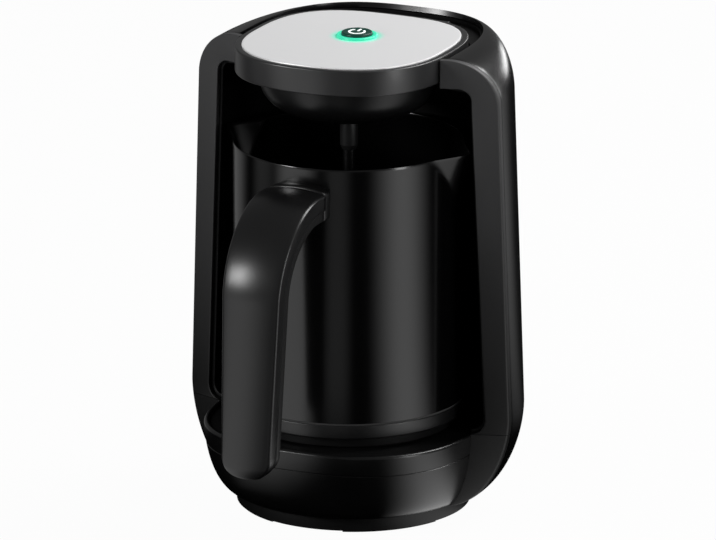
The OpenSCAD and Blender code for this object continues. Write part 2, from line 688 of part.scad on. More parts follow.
// The bowl's side view as a quarter of a superellipse, from the axis out to its mouth
function dome_arc(r, depth, last = 0) = [for (t = [90 : -5 : last])
    [r * signed_power(cos(t), 2 / dome_n), lid_z + 0.6 - depth * signed_power(sin(t), 2 / dome_n)]];
module lid_dome() {
    flange_z = lid_z + 0.2;
    inner = dome_arc(dome_r - dome_wall, dome_depth - dome_wall);
    color(black_satin) difference() {
        union() {
            difference() {
                translate([0, 0, flange_z]) linear_extrude(2.2) lid_plan(-lid_wall - joint_gap);
                cylinder(h = 300, r = dome_r - dome_wall / 2, $fn = 96);
            }
            rotate_extrude($fn = 96) polygon(concat(dome_arc(dome_r, dome_depth),
                [[dome_r, flange_z + 2.2], [dome_r - dome_wall, flange_z + 2.2]],
                [for (i = [len(inner) - 1 : -1 : 0]) inner[i]]));
        }
        translate([0, 0, dome_bottom_z - cut]) cylinder(h = 6, r = holder_r + fixed_fit, $fn = 48);
        for (p = dome_post_at) translate([p[0], p[1], lid_z - cut]) cylinder(h = 5, r = 1.2 + fixed_fit,
            $fn = 24);
        for (p = dome_post_at) translate([p[0], p[1], lid_z - cut]) cylinder(h = 1.7, r = 2.4, $fn = 32);
    }
}
module dome_screws() {
    color(steel) for (p = dome_post_at) translate([p[0], p[1], lid_z + 0.1]) screw(2.2, 1.1, 1.2, 4.6);
}
module control_board() {
    color(board_green) translate([0, button_y, control_z]) difference() {
        translate([-16, -11, 0]) cube([32, 22, control_t]);
        for (x = [-12, 12], y = [-8, 8]) translate([x, y, -cut])
            cylinder(h = control_t + 2 * cut, r = 1 + fixed_fit, $fn = 24);
    }
}
plunger_r = 1.6;
module control_parts() {
    z = control_z + control_t + 0.02;
    color(black_satin) translate([-12.5, button_y - 3, z]) cube([5, 6, 1.6]);
    color(steel) translate([0, button_y, z]) difference() {
        translate([-3, -3, 0]) cube([6, 6, 1.2]);
        translate([0, 0, -cut]) cylinder(h = 3, r = plunger_r + 0.35, $fn = 32);
    }
    color(glow_green) for (a = [0 : 90 : 270]) translate([0, button_y, z]) rotate(a + 45)
        translate([5.4, -0.8, 0]) cube([1.6, 1.6, 0.24]);
}
module control_screws() {
    color(steel) for (p = board_post_at) translate([p[0], p[1], control_z - 1]) screw(1.9, 0.98, 1, 4.4);
}

tip_z = dome_bottom_z - probe_h;
module probe_holder() {
    top = dome_bottom_z + dome_wall;
    low = dome_bottom_z - holder_h;
    color(black_satin) rotate_extrude($fn = 48) polygon([[probe_r + fixed_fit, low], [holder_r - 0.9, low],
        [holder_r, low + 2], [holder_r, top + 0.7], [6, top + 0.7], [6, top + 2.4], [holder_r, top + 2.4],
        [holder_r, top + 5], [probe_r + fixed_fit, top + 5]]);
}
module overflow_probe() {
    top = dome_bottom_z + dome_wall;
    color(steel) {
        translate([0, 0, tip_z + probe_r]) cylinder(h = top + 11 - tip_z - probe_r, r = probe_r, $fn = 32);
        translate([0, 0, tip_z + probe_r]) sphere(r = probe_r, $fn = 32);
    }
}
module probe_nut() {
    top = dome_bottom_z + dome_wall;
    color(steel) translate([0, 0, top + 5.1]) nut(2.4, 4.2, probe_r + fixed_fit);
}
module probe_lead() {
    top = dome_bottom_z + dome_wall;
    color(rubber_grey)
        wire([[0, probe_r + 1, top + 9], [0, 7, top + 11], [-6, 8, control_z - 4], [-6, 6,
            control_z - 1]], 0.7);
}

// ---------------------------------------------------------------- button
cap_top_z = plate_z + plate_t + button_proud;
module power_button() {
    color(black_satin) translate([0, button_y, 0]) rotate_extrude($fn = 64) polygon([[0, plate_z - 5.3],
        [stem_r, plate_z - 5.3], [stem_r, plate_z - 1.4], [button_r, plate_z - 1.4], [button_r,
            cap_top_z - 0.5],
        [button_r - 0.5, cap_top_z], [0, cap_top_z - 0.2]]);
}
module switch_plunger() {
    color(rubber_grey) translate([0, button_y, plate_z - 6.55]) cylinder(h = 1.15, r = plunger_r, $fn = 32);
}

// ---------------------------------------------------------------- pot
band_z = seat_z + neck_h;
vessel_z = band_z + band_h + 0.9;
inner_floor_z = seat_z + floor_rise;
stud_r = 2.6;
stud_at = pot_r - 7.4;
lip_tip = pot_r + lip_reach;
// A pouring lip as a wedge that widens upwards, with its tip outwards
module lip_wedge(grow, top) {
    tip = lip_tip + grow;
    root = pot_r - 1.2 + min(0, grow);
    back = sqrt(pot_r * pot_r - lip_half_w * lip_half_w) - 1.5;
    half = (lip_half_w + grow) * (tip - back) / (tip - back - 1.5);
    low = rim_z - lip_h - grow;
    k = (top - low) / (rim_z - low);
    far = root + (tip - root) * k;
    inner = root + (back - root) * k;
    polyhedron([[root, 0, low], [inner, half * k, top], [inner, -half * k, top], [far, 0, top]],
        [[0, 3, 1], [0, 2, 3], [0, 1, 2], [1, 3, 2]]);
}
module pot_vessel() {
    color(black_gloss) {
        difference() {
            union() {
                translate([0, 0, vessel_z]) cylinder(h = rim_z - vessel_z, r = pot_r, $fn = 120);
                for (a = [0, 180]) rotate(a) lip_wedge(0, rim_z);
            }
            translate([0, 0, inner_floor_z]) cylinder(h = rim_z, r = pot_r - pot_wall, $fn = 120);
            translate([0, 0, vessel_z - cut]) cylinder(h = inner_floor_z - pot_wall - vessel_z + cut,
                r = pot_r - pot_wall, $fn = 120);
            for (a = [0, 180]) rotate(a) lip_wedge(-pot_wall * 1.2, rim_z + cut);
            rotate([90, 0, 0]) for (x = [-5, 5]) translate([x, handle_hole_z, 0])
                cylinder(h = pot_r + cut, r = 1.6 + fixed_fit, $fn = 24);
        }
        for (a = [30, 150, 270]) rotate(a) translate([stud_at, 0, 0]) difference() {
            translate([0, 0, band_z + 1]) cylinder(h = inner_floor_z - pot_wall / 2 - band_z - 1,
                r = stud_r, $fn = 32);
            translate([0, 0, band_z]) cylinder(h = 8, r = 1.4 + fixed_fit, $fn = 24);
        }
    }
}
socket_r = 17.4;
module pot_foot() {
    inner = pot_r - 2.4;
    color(black_satin) difference() {
        rotate_extrude($fn = 120) polygon([[socket_r + joint_gap, seat_z], [pot_r - 3.6, seat_z],
            [pot_r - 3.4, seat_z + 0.2], [pot_r - 3.4, band_z], [pot_r, band_z], [pot_r, band_z + band_h],
            [inner, band_z + band_h], [inner, band_z + 2.4], [inner - 5, seat_z + 2.2],
            [socket_r + joint_gap, seat_z + 2.2]]);
        for (a = [30, 150, 270]) rotate(a) translate([stud_at, 0, seat_z - cut]) {
            cylinder(h = 9, r = 1.4 + fixed_fit, $fn = 24);
            cylinder(h = 1.4 + cut, r = 2.8, $fn = 32);
        }
        for (a = [30, 150, 270]) rotate(a) translate([stud_at, 0, band_z - 0.1])
            cylinder(h = 12, r = stud_r + 0.4, $fn = 32);
    }
}
module foot_seal() {
    color(rubber_grey) translate([0, 0, band_z + band_h + 0.05]) tube(0.8, pot_r - 0.2, pot_r - 2, 120);
}
module foot_screws() {
    color(steel) for (a = [30, 150, 270]) rotate(a) translate([stud_at, 0, seat_z + 0.2]) screw(2.5,
        1.15, 1.4, 9);
}
module pot_coupler() {
    z = seat_z + 0.3;
    top = coupler_top_z + 3;
    color(grey_satin) difference() {
        union() {
            translate([0, 0, z]) cylinder(h = top - z, r = socket_r, $fn = 64);
            translate([0, 0, seat_z + 2.4]) cylinder(h = 1.6, r = socket_r + 4, $fn = 64);
        }
        translate([0, 0, z - cut]) cylinder(h = coupler_top_z + 0.8 - z + cut, r = tower_hole_r + 0.6,
            $fn = 64);
    }
}
module heater_plate() {
    color(steel) translate([0, 0, inner_floor_z - pot_wall - 3.1]) tube(3, heater_r, 6, 96);
}
module heating_element() {
    color(copper_tone) translate([0, 0, inner_floor_z - pot_wall - 3.2 - 2.6])
        rotate_extrude(angle = 320, $fn = 64) translate([element_r, 0]) circle(r = 2.6, $fn = 24);
}
module thermostat() {
    color(steel) translate([9, 0, inner_floor_z - pot_wall - 3.2 - 5]) cylinder(h = 4.9, r = 5.4, $fn = 32);
}

// ---------------------------------------------------------------- handle
handle_top_z = rim_z - handle_drop;
handle_hole_z = handle_top_z - handle_t / 2;
bend_y = handle_out - handle_bend;
bend_z = handle_top_z - handle_bend;
bend_n = 1.86;
// The handle's side view at an inset from its outer face, as reach and height
function handle_curve(inset) = concat([[pot_r + 3.2, handle_top_z - inset]],
    [for (t = [90 : -7.5 : 0]) [bend_y + (handle_bend - inset) * signed_power(cos(t), 2 / bend_n),
        bend_z + (handle_bend - inset) * signed_power(sin(t), 2 / bend_n)]]);
end_r = 5;
function handle_end(near, far) = [
    for (t = [0 : 15 : 90]) [handle_out + handle_lean - near - end_r * (1 - cos(t)),
        handle_end_z + end_r * (1 - sin(t))],
    for (t = [90 : 15 : 180]) [handle_out + handle_lean - far + end_r * (1 + cos(t)),
        handle_end_z + end_r * (1 - sin(t))]];
function reversed(v) = [for (i = [len(v) - 1 : -1 : 0]) v[i]];
module side_profile() {
    polygon(concat(handle_curve(0), handle_end(0, handle_t), reversed(handle_curve(handle_t))));
}
// The handle's front view: it narrows from the pot to its end, whose corners are round
end_corner = 9;
module handle_width(grow) {
    half = handle_end_w / 2 + grow;
    rotate([90, 0, 0]) linear_extrude(2 * handle_out) polygon(concat(
        [for (t = [0 : 15 : 90]) [end_corner * (1 - cos(t)) - half,
            handle_end_z + end_corner * (1 - sin(t))]],
        [for (t = [90 : -15 : 0]) [half - end_corner * (1 - cos(t)),
            handle_end_z + end_corner * (1 - sin(t))]],
        [[handle_root_w / 2 - 1.2 + grow, bend_z], [handle_root_w / 2 + grow, rim_z],
        [-handle_root_w / 2 - grow, rim_z], [-handle_root_w / 2 + 1.2 - grow, bend_z]]));
}
module swept_side() {
    rotate([0, 0, -90]) rotate([90, 0, 0]) translate([0, 0, -handle_root_w]) linear_extrude(2 * handle_root_w)
        children();
}
split = 8.4;
module handle_outer() {
    color(black_satin) intersection() {
        swept_side() difference() {
            side_profile();
            polygon(concat([[pot_r - 5, handle_top_z - split]], handle_curve(split),
                [[handle_out + handle_lean - split, handle_end_z + end_r + 2],
                [handle_out + handle_lean - split, handle_end_z + 3.2],
                [0, handle_end_z + 3.2]]));
        }
        handle_width(0);
        difference() {
            translate([-handle_root_w, -handle_out * 1.5, 0]) cube([2 * handle_root_w, handle_out * 1.5,
                rim_z]);
            rotate([90, 0, 0]) for (x = [-5, 5]) translate([x, handle_hole_z, 0])
                cylinder(h = pot_r + 12, r = 1.6 + fixed_fit, $fn = 24);
        }
    }
}
module handle_inner() {
    far = handle_out + handle_lean - split - joint_gap;
    color(grey_satin) intersection() {
        swept_side() intersection() {
            side_profile();
            polygon(concat([[pot_r - 5, handle_top_z - split - joint_gap]], handle_curve(split + joint_gap),
                [[far, handle_end_z + end_r + 2], [far, handle_end_z + 3.2 + joint_gap],
                [0, handle_end_z + 3.2 + joint_gap]]));
        }
        handle_width(-0.5);
    }
}
module handle_bracket() {
    w = handle_root_w - 2;
    color(black_satin) difference() {
        translate([-w / 2, -pot_r - 3, handle_top_z - handle_t - 0.6]) cube([w, 6, handle_t + 1.2]);
        cylinder(h = 300, r = pot_r + 0.05, $fn = 120);
        rotate([90, 0, 0]) for (x = [-5, 5]) translate([x, handle_hole_z, 0])
            cylinder(h = pot_r + 12, r = 1.6 + fixed_fit, $fn = 24);
    }
}
module handle_screws() {
    inner = pot_r - pot_wall - 2.1;
    color(steel) for (x = [-5, 5]) translate([x, -inner, handle_hole_z]) rotate([90, 0, 0])
        screw(3, 1.2, 1.6, 11);
}

outer_shell();
front_frame();
top_deck();
hinge_pin();
base_bowl();
pot_deck();
base_coupler();
coupler_pin();
foot_ring();
bottom_plate();
rubber_feet();
bottom_screws();
power_board();
board_parts();
board_screws();
cord_gland();
gland_nut();
body_harness();
lid_shell();
top_plate();
light_ring();
lid_dome();
dome_screws();
control_board();
control_parts();
control_screws();
probe_holder();
overflow_probe();
probe_nut();
probe_lead();
power_button();
switch_plunger();
pot_vessel();
pot_foot();
foot_seal();
foot_screws();
pot_coupler();
heater_plate();
heating_element();
thermostat();
handle_bracket();
handle_outer();
handle_inner();
handle_screws();
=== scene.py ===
"""Electric turkish coffee maker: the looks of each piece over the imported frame."""

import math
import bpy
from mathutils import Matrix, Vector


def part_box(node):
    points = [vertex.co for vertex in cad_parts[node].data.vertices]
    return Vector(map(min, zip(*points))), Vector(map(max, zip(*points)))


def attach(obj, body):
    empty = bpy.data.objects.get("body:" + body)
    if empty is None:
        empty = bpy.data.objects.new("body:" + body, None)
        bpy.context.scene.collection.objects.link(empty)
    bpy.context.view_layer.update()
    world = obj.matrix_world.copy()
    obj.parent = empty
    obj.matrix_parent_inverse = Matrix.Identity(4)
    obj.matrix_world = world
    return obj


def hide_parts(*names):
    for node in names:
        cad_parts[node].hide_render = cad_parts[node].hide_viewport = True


bl_info = {
    "name": "Turkish Coffee Maker",
    "version": (1, 0, 0),
    "blender": (4, 5, 0),
    "location": "View3D > Sidebar > Coffee Maker",
    "description": "Builds the stand, lid, pot, handle and studio of an electric turkish coffee maker",
    "category": "Add Mesh",
}

import bmesh
import bpy
import numpy as np
from bpy.props import FloatProperty, FloatVectorProperty, PointerProperty
from bpy.types import Operator, Panel, PropertyGroup
from mathutils import Vector

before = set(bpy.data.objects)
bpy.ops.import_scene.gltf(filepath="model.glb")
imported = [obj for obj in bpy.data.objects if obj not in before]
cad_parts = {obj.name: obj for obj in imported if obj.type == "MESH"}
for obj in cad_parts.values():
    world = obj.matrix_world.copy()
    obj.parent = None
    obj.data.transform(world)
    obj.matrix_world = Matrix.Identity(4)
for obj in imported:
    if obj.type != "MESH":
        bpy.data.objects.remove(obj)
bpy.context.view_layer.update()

# lengths in millimetres that the sizes in the panel don't hold
WAIST, SHOULDER, NECK = 43.0, 19.5, 66.0  # waist's height, shoulder's radius, half width under it
FOOT_HALF, FOOT_BACK = 48.6, 53.0  # the body at its foot
OPEN_HALF, OPEN_BACK, OPEN_N = 45.9, 62.0, 2.8  # the opening in the body's top
BELLY = 1.8  # exponent of the taper under the waist
BAY_TOP, BAY_LOW = 55.6, 61.3  # radius of the bay at its roof and at its floor
BAY_CORNER, BAY_FOOT, BAY_FLOOR = 5.0, 6.0, 36.8  # rounding of its roof and foot, height of the foot
ROOF, FLOOR = 179.4, 35.4  # heights that the bay's cone runs between
FACE_Y, FACE_SLOPE = -5.0, 0.35  # the arms' face: y at the bay's radius, and how it falls back
LID = dict(half=43.3, front=44.4, back=46.0, n_front=2.4, n_back=2.9)
LID_RIM, LID_GAP, BAND_H = 2.4, 0.7, 10.5
HINGE_HALF, HINGE_BORE, HINGE_R = 19.8, 1.56, 3.0
BUTTON_Y, BUTTON_HOLE = 7.5, 8.15
DOME_N, DOME_HOLE, DOME_WALL = 2.9, 3.65, 2.0
RING, RING_BACK = 47.0, 4.2  # radius of the foot ring, and how far back its axis is
BOWL_HALF, BOWL_FRONT, BOWL_SQUARE, SEAM = 56.0, 58.7, 0.6, 28.2
LIP_SLOPE, LIP_NOSE, LIP_SPREAD, LIP_SOFT = 0.667, 0.018, 0.55, 0.5
POT_WALL, POT_FLOOR = 0.8, 60.2
HANDLE_DROP, HANDLE_LOW, HANDLE_END = 7.3, 36.4, 9.0  # under the rim, its end, that end's radius
HANDLE_BEND_N, HANDLE_HALF = 1.86, 12.3


# ---- settings
def length(name, description, default):
    return FloatProperty(name=name, description=description, default=default / 1000, min=0.0001,
                         unit="LENGTH", subtype="DISTANCE")


def tint(name, description, default):
    return FloatVectorProperty(name=name, description=description, default=default, size=3,
                               min=0.0, max=1.0, subtype="COLOR")


class COFFEE_PG_sizes(PropertyGroup):
    """Sizes of the coffee maker's pieces."""
    pot_radius: length("Pot radius", "Outside radius of the pot", 46.4)
    rim_height: length("Rim height", "Height of the pot's rim above the table", 151.5)
    lip_reach: length("Lip reach", "How far a pouring lip stands out of the pot's wall", 7.6)
    lip_height: length("Lip height", "Height of a pouring lip", 26.0)
    handle_reach: length("Handle reach", "Reach of the handle's outer face at its bend", 93.0)
    handle_lean: length("Handle lean", "How far the grip leans outwards at its end", 5.0)
    handle_thickness: length("Handle thickness", "Thickness of the handle", 12.6)
    handle_bend: length("Handle bend", "Radius of the handle's bend at its outer face", 38.0)
    shell_wall: length("Shell wall", "Wall of the outer shell", 2.2)
    face_thickness: length("Face thickness", "Thickness of the arms' front face", 2.6)
    edge_radius: length("Edge radius", "Rounding of the moulded edges", 0.9)
    button_radius: length("Button radius", "Radius of the power button", 6.2)
    dome_radius: length("Dome radius", "Radius of the dome's mouth under the lid", 36.0)
    dome_depth: length("Dome depth", "Depth of the dome under the lid's band", 20.0)


class COFFEE_PG_colours(PropertyGroup):
    """Colours of the coffee maker's finishes."""
    shell: tint("Shell", "Gloss black of the outer shell", (0.0016, 0.0016, 0.0018))
    frame: tint("Frame", "Satin charcoal of the arms", (0.048, 0.048, 0.049))
    bowl: tint("Bowl", "Satin black of the base", (0.0018, 0.0018, 0.0019))
    pot: tint("Pot", "Gloss black of the pot", (0.0012, 0.0012, 0.0013))
    handle: tint("Handle", "Satin black of the handle", (0.004, 0.004, 0.0042))
    band: tint("Band", "Satin charcoal of the lid's band", (0.017, 0.017, 0.0175))
    plate: tint("Plate", "Brushed metal of the lid's plate", (0.86, 0.86, 0.865))
    glow: tint("Glow", "Lit green round the power button", (0.03, 0.5, 0.3))
    paper: tint("Floor", "Pale studio floor", (0.4, 0.4, 0.4))


def sizes():
    """The sizes in millimetres, by name."""
    group = bpy.context.scene.coffee_sizes
    return {k: getattr(group, k) * 1000 for k in COFFEE_PG_sizes.__annotations__}


def colours():
    """The colours, by name."""
    group = bpy.context.scene.coffee_colours
    return {k: tuple(getattr(group, k)) for k in COFFEE_PG_colours.__annotations__}


# ---- levels and outlines
def box_mm(node):
    """Lowest and highest corner of a frame node, in millimetres."""
    low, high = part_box(node)
    return np.array(low) * 1000, np.array(high) * 1000


def levels():
    """Heights and reaches that the frame's nodes give, in millimetres."""
    shell, bowl, frame, plate, lid = (box_mm(node) for node in (
        "outer_shell", "base_bowl", "front_frame", "top_plate", "lid_shell"))
    return dict(foot=shell[0][2], top=shell[1][2], half=shell[1][0], rim=bowl[1][2],
                frame_foot=frame[0][2], plate=plate[0][2], plate_top=plate[1][2],
                lid=lid[0][2], band_top=lid[0][2] + BAND_H)


def power(v, e):
    """A power that keeps the sign."""
    return np.sign(v) * np.abs(v) ** e


def angles(count):
    return np.linspace(0, 2 * np.pi, count, endpoint=False)


def points(x, y, z):
    """Points from coordinates, each spread to the same shape."""
    return np.stack(np.broadcast_arrays(x, y, z), -1)


def polar(r, t, z, y=0.0):
    """Points at radius r and angle t about an upright axis at y."""
    return points(r * np.cos(t), y + r * np.sin(t), z)


def egg(angle, half, front, back, n_front, n_back):
    """A superellipse by its angle: x is half*cos^(2/n) and y is reach*sin^(2/n), with its own
    reach and exponent in front and behind."""
    s = np.sin(angle)
    n = np.where(s < 0, n_front, n_back)
    reach = np.where(s < 0, front, back)
    return half * power(np.cos(angle), 2 / n), reach * power(s, 2 / n)


def lid_outline(t, inset):
    """The lid's outline by angle, drawn in by the inset."""
    half, front, back = (LID[key] - inset for key in ("half", "front", "back"))
    return egg(t, half, front, back, LID["n_front"], LID["n_back"])


def taper(z, low, high):
    """0 at the foot and 1 at the waist, along a quarter of a superellipse."""
    k = np.clip((z - low) / (high - low), 0, 1)
    return (1 - (1 - k) ** BELLY) ** (1 / BELLY)


def outline(z, lv):
    """The body's half width, back reach and squareness at each height: a superellipse taper to the
    waist, a straight lean to the shoulder, then a quarter circle to the opening in the top."""
    half, shoulder = lv["half"], lv["top"] - SHOULDER
    k = taper(z, lv["foot"], WAIST)
    lean = np.clip((z - WAIST) / (shoulder - WAIST), 0, 1)
    bend = 1 - np.sqrt(np.clip(1 - (np.clip(z - shoulder, 0, None) / SHOULDER) ** 2, 0, 1))
    side = np.where(z < WAIST, FOOT_HALF + (half - FOOT_HALF) * k, half + (NECK - half) * lean)
    back = np.where(z < WAIST, FOOT_BACK + (half - FOOT_BACK) * k, side)
    return side + (OPEN_HALF - NECK) * bend, back + (OPEN_BACK - NECK) * bend, 2 + (OPEN_N - 2) * bend


def face_y(x):
    """The arms' front face: a plane set back with the distance from the middle."""
    return FACE_Y + FACE_SLOPE * (x - BAY_TOP)


def on_plane(x, z):
    """Points of the arms' face."""
    return points(x, face_y(x), z)


def bay_radius(z):
    """Radius of the bay at each height: a straight cone with a rounded roof and a rounded foot."""
    r = BAY_LOW + (BAY_TOP - BAY_LOW) * (z - FLOOR) / (ROOF - FLOOR)
    up = np.clip(z - (ROOF - BAY_CORNER), 0, BAY_CORNER)
    down = np.clip(BAY_FLOOR + BAY_FOOT - z, 0, BAY_FOOT)
    corner = BAY_CORNER - np.sqrt(BAY_CORNER ** 2 - up ** 2)
    foot = BAY_FOOT - np.sqrt(BAY_FOOT ** 2 - down ** 2)
    return r - corner - foot


def on_face(radius):
    """Where a circle of each radius about the axis crosses the arms' face, as x: the larger root
    of x^2 + (c + m x)^2 = r^2."""
    m, c = FACE_SLOPE, FACE_Y - FACE_SLOPE * BAY_TOP
    b, a = m * c, 1 + m * m
    return (-b + np.sqrt(b * b - a * (c * c - radius ** 2))) / a


def meet_face(half, front, n):
    """Where a superellipse about the axis crosses the arms' face, as x, by repeated substitution."""
    x = half
    for _ in range(8):
        x = half * (1 - (np.abs(face_y(x)) / front) ** n) ** (1 / n)
    return x


def outer_x(z, lv):
    """Where the body's outline crosses the arms' face at each height."""
    side, _, n = outline(z, lv)
    return meet_face(side, side, n)


def sweep(start, count):
    """Angles from a start on the right round the back to its mirror on the left."""
    return start + (np.pi - 2 * start) * np.linspace(0, 1, count)


# ---- mesh makers
def link(name, mesh):
    """An object at the origin, in the scene."""
    obj = bpy.data.objects.new(name, mesh)
    bpy.context.scene.collection.objects.link(obj)
    return obj


def build(name, P, faces, smooth_deg):
    """A mesh object from points in millimetres and an array of faces."""
    mesh = bpy.data.meshes.new(name)
    mesh.from_pydata((np.reshape(P, (-1, 3)) / 1000).tolist(), [], faces)
    mesh.validate()
    mesh.update()
    mesh.polygons.foreach_set("use_smooth", np.ones(len(mesh.polygons), bool))
    mesh.set_sharp_from_angle(angle=math.radians(smooth_deg))
    return link(name, mesh)


def grid_faces(P, wrap_u, wrap_v, flip=False):
    """Quads of a grid of points P[u, v], joined round in either direction."""
    nu, nv = P.shape[:2]
    u, v = np.arange(nu if wrap_u else nu - 1), np.arange(nv if wrap_v else nv - 1)
    U, V = np.meshgrid(u, v, indexing="ij")
    U2, V2 = (U + 1) % nu, (V + 1) % nv
    quads = np.stack([U * nv + V, U2 * nv + V, U2 * nv + V2, U * nv + V2], -1).reshape(-1, 4)
    return (quads[:, ::-1] if flip else quads).tolist()


def patch(name, P, wrap_v=False, flip=False, smooth_deg=38):
    """An open surface of points P[u, v], which may join round in v."""
    return build(name, P, grid_faces(P, False, wrap_v, flip), smooth_deg)


def sheet(name, P, wrap_u=False, caps=False, smooth_deg=38):
    """A closed surface of points P[u, v]: it joins round in v, and joins round in u or has flat caps."""
    nu, nv = P.shape[:2]
    faces = grid_faces(P, wrap_u, True)
    if caps:
        faces += [list(range(nv)), list(range(nu * nv - 1, (nu - 1) * nv - 1, -1))]
    obj = build(name, P, faces, smooth_deg)
    turn_faces(obj, merge=True)
    return obj


def turn_faces(obj, merge=False, up=False):
    """Turns the faces one way, outwards on a closed mesh. It can merge doubled points first, and
    afterwards turn an open sheet over if most of it faces down."""
    bm = bmesh.new()
    bm.from_mesh(obj.data)
    if merge:
        bmesh.ops.remove_doubles(bm, verts=bm.verts, dist=1e-6)
    bmesh.ops.recalc_face_normals(bm, faces=bm.faces)
    if up and sum(f.normal.z * f.calc_area() for f in bm.faces) < 0:
        bmesh.ops.reverse_faces(bm, faces=bm.faces)
    bm.to_mesh(obj.data)
    bm.free()
    obj.data.update()


def join(name, objects):
    """One object from several meshes."""
    bm = bmesh.new()
    for o in objects:
        bm.from_mesh(o.data)
        bpy.data.objects.remove(o)
    mesh = bpy.data.meshes.new(name)
    bm.to_mesh(mesh)
    bm.free()
    return link(name, mesh)


def turned(name, profile, steps=128, y=0.0, smooth_deg=38):
    """A turned solid: a closed profile of (radius, height) points carried round an upright axis."""
    r, z = np.asarray(profile, float).T
    return sheet(name, polar(r, angles(steps)[:, None], z, y), wrap_u=True, smooth_deg=smooth_deg)


def arc_between(p, b, q, t):
    """The quadratic curve (1-t)^2 p + 2t(1-t) b + t^2 q."""
    return (1 - t) ** 2 * p + 2 * t * (1 - t) * b + t ** 2 * q


def rounded(corners, radius, steps=5):
    """A closed polyline with each corner b cut to a quadratic curve between two points on its sides."""
    pts = np.asarray(corners, float)
    radius = np.broadcast_to(radius, len(pts))
    t = np.linspace(0, 1, steps)[:, None]
    out = []
    for i, b in enumerate(pts):
        a, c = pts[i - 1], pts[(i + 1) % len(pts)]
        la, lc = np.linalg.norm(a - b), np.linalg.norm(c - b)
        cut = min(radius[i], la * 0.49, lc * 0.49)
        p, q = b + (a - b) / la * cut, b + (c - b) / lc * cut
        out.append(b[None] if cut < 1e-6 else arc_between(p, b, q, t))
    return np.concatenate(out)


def resample(path, count):
    """Points at equal steps along a polyline."""
    run = np.concatenate([[0], np.cumsum(np.linalg.norm(np.diff(path, axis=0), axis=1))])
    at = np.linspace(0, run[-1], count)
    return np.stack([np.interp(at, run, axis) for axis in path.T], -1)


def wall(obj, thickness, edge=0.5):
    """A wall inwards from the surface, with its edges rounded."""
    m = obj.modifiers.new("Wall", "SOLIDIFY")
    m.thickness, m.offset, m.use_even_offset = thickness / 1000, -1, True
    b = obj.modifiers.new("Edges", "BEVEL")
    b.width, b.segments, b.limit_method, b.angle_limit = edge / 1000, 3, "ANGLE", math.radians(50)


def finish_piece(obj, body, finish, slot, *replaces):
    """Gives a piece its material and body, and the frame nodes it stands for; the slot is not used."""
    obj.data.materials.clear()
    obj.data.materials.append(finishes()[finish])
    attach(obj, body)
    if replaces:
        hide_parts(*replaces)


# ---- shader nodes
def feed(tree, node, inputs):
    """Fills a node's inputs by name or number: a socket is linked, and a colour gets its alpha."""
    for key, value in inputs.items():
        pin = node.inputs[key]
        if isinstance(value, bpy.types.NodeSocket):
            tree.links.new(value, pin)
        else:
            pin.default_value = (*value, 1) if pin.type == "RGBA" else value


def add(tree, kind, inputs, **settings):
    """A new node with its settings and inputs."""
    node = tree.nodes.new("ShaderNode" + kind)
    for key, value in settings.items():
        setattr(node, key, value)
    feed(tree, node, inputs)
    return node


def calc(tree, operation, a, b=0.0):
    """The result of a Math node."""
    return add(tree, "Math", {0: a, 1: b}, operation=operation).outputs[0]


def mix(tree, kind, factor, a, b):
    """A mix of two floats or colours; each input is a socket or a plain value."""
    first, out = (6, 2) if kind == "RGBA" else (2, 0)
    return add(tree, "Mix", {0: factor, first: a, first + 1: b}, data_type=kind).outputs[out]


def position(tree):
    return add(tree, "TexCoord", {}).outputs["Object"]


def new_group(name, inputs):
    """An empty shader group that gives a colour, a roughness and a height: its tree, the sockets it is
    given, and the node that takes its results."""
    tree = bpy.data.node_groups.new(name, "ShaderNodeTree")
    for label, value in inputs.items():
        kind = "NodeSocketColor" if isinstance(value, tuple) else "NodeSocketFloat"
        socket = tree.interface.new_socket(name=label, in_out="INPUT", socket_type=kind)
        socket.default_value = value
    for label, kind in (("Colour", "Color"), ("Roughness", "Float"), ("Height", "Float")):
        tree.interface.new_socket(name=label, in_out="OUTPUT", socket_type="NodeSocket" + kind)
    return tree, tree.nodes.new("NodeGroupInput").outputs, tree.nodes.new("NodeGroupOutput")


def moulded_group():
    """Moulded plastic: a fine grain as height, slow blotches of roughness, a faint colour drift, and painted
    shade that fades the colour to a darker one towards the foot, between two given heights.
    """
    tree, given, result = new_group("Moulded grain", {
        "Colour": (0.02, 0.02, 0.02, 1), "Grain scale": 900.0, "Drift": 0.1, "Rough low": 0.3,
        "Rough high": 0.4, "Low colour": (0.02, 0.02, 0.02, 1), "Low": 0.0, "High": 0.001})
    place = position(tree)
    # painted shade: the colour is its own above High and fades to the shade colour below Low, so the piece
    # darkens towards its foot
    height = add(tree, "SeparateXYZ", {0: place}).outputs["Z"]
    fade = add(tree, "MapRange", {"Value": height, "From Min": given["Low"], "From Max": given["High"]})
    shade = mix(tree, "RGBA", fade.outputs["Result"], given["Low colour"], given["Colour"])
    grain = add(tree, "TexNoise", {"Vector": place, "Scale": given["Grain scale"], "Detail": 3})
    blotch = add(tree, "TexNoise", {"Vector": place, "Scale": 26, "Detail": 4}).outputs["Fac"]
    drift = calc(tree, "MULTIPLY", blotch, given["Drift"])
    feed(tree, result, {"Colour": mix(tree, "RGBA", drift, shade, (0.06, 0.06, 0.062)),
                        "Roughness": mix(tree, "FLOAT", blotch, given["Rough low"], given["Rough high"]),
                        "Height": grain.outputs["Fac"]})
    return tree


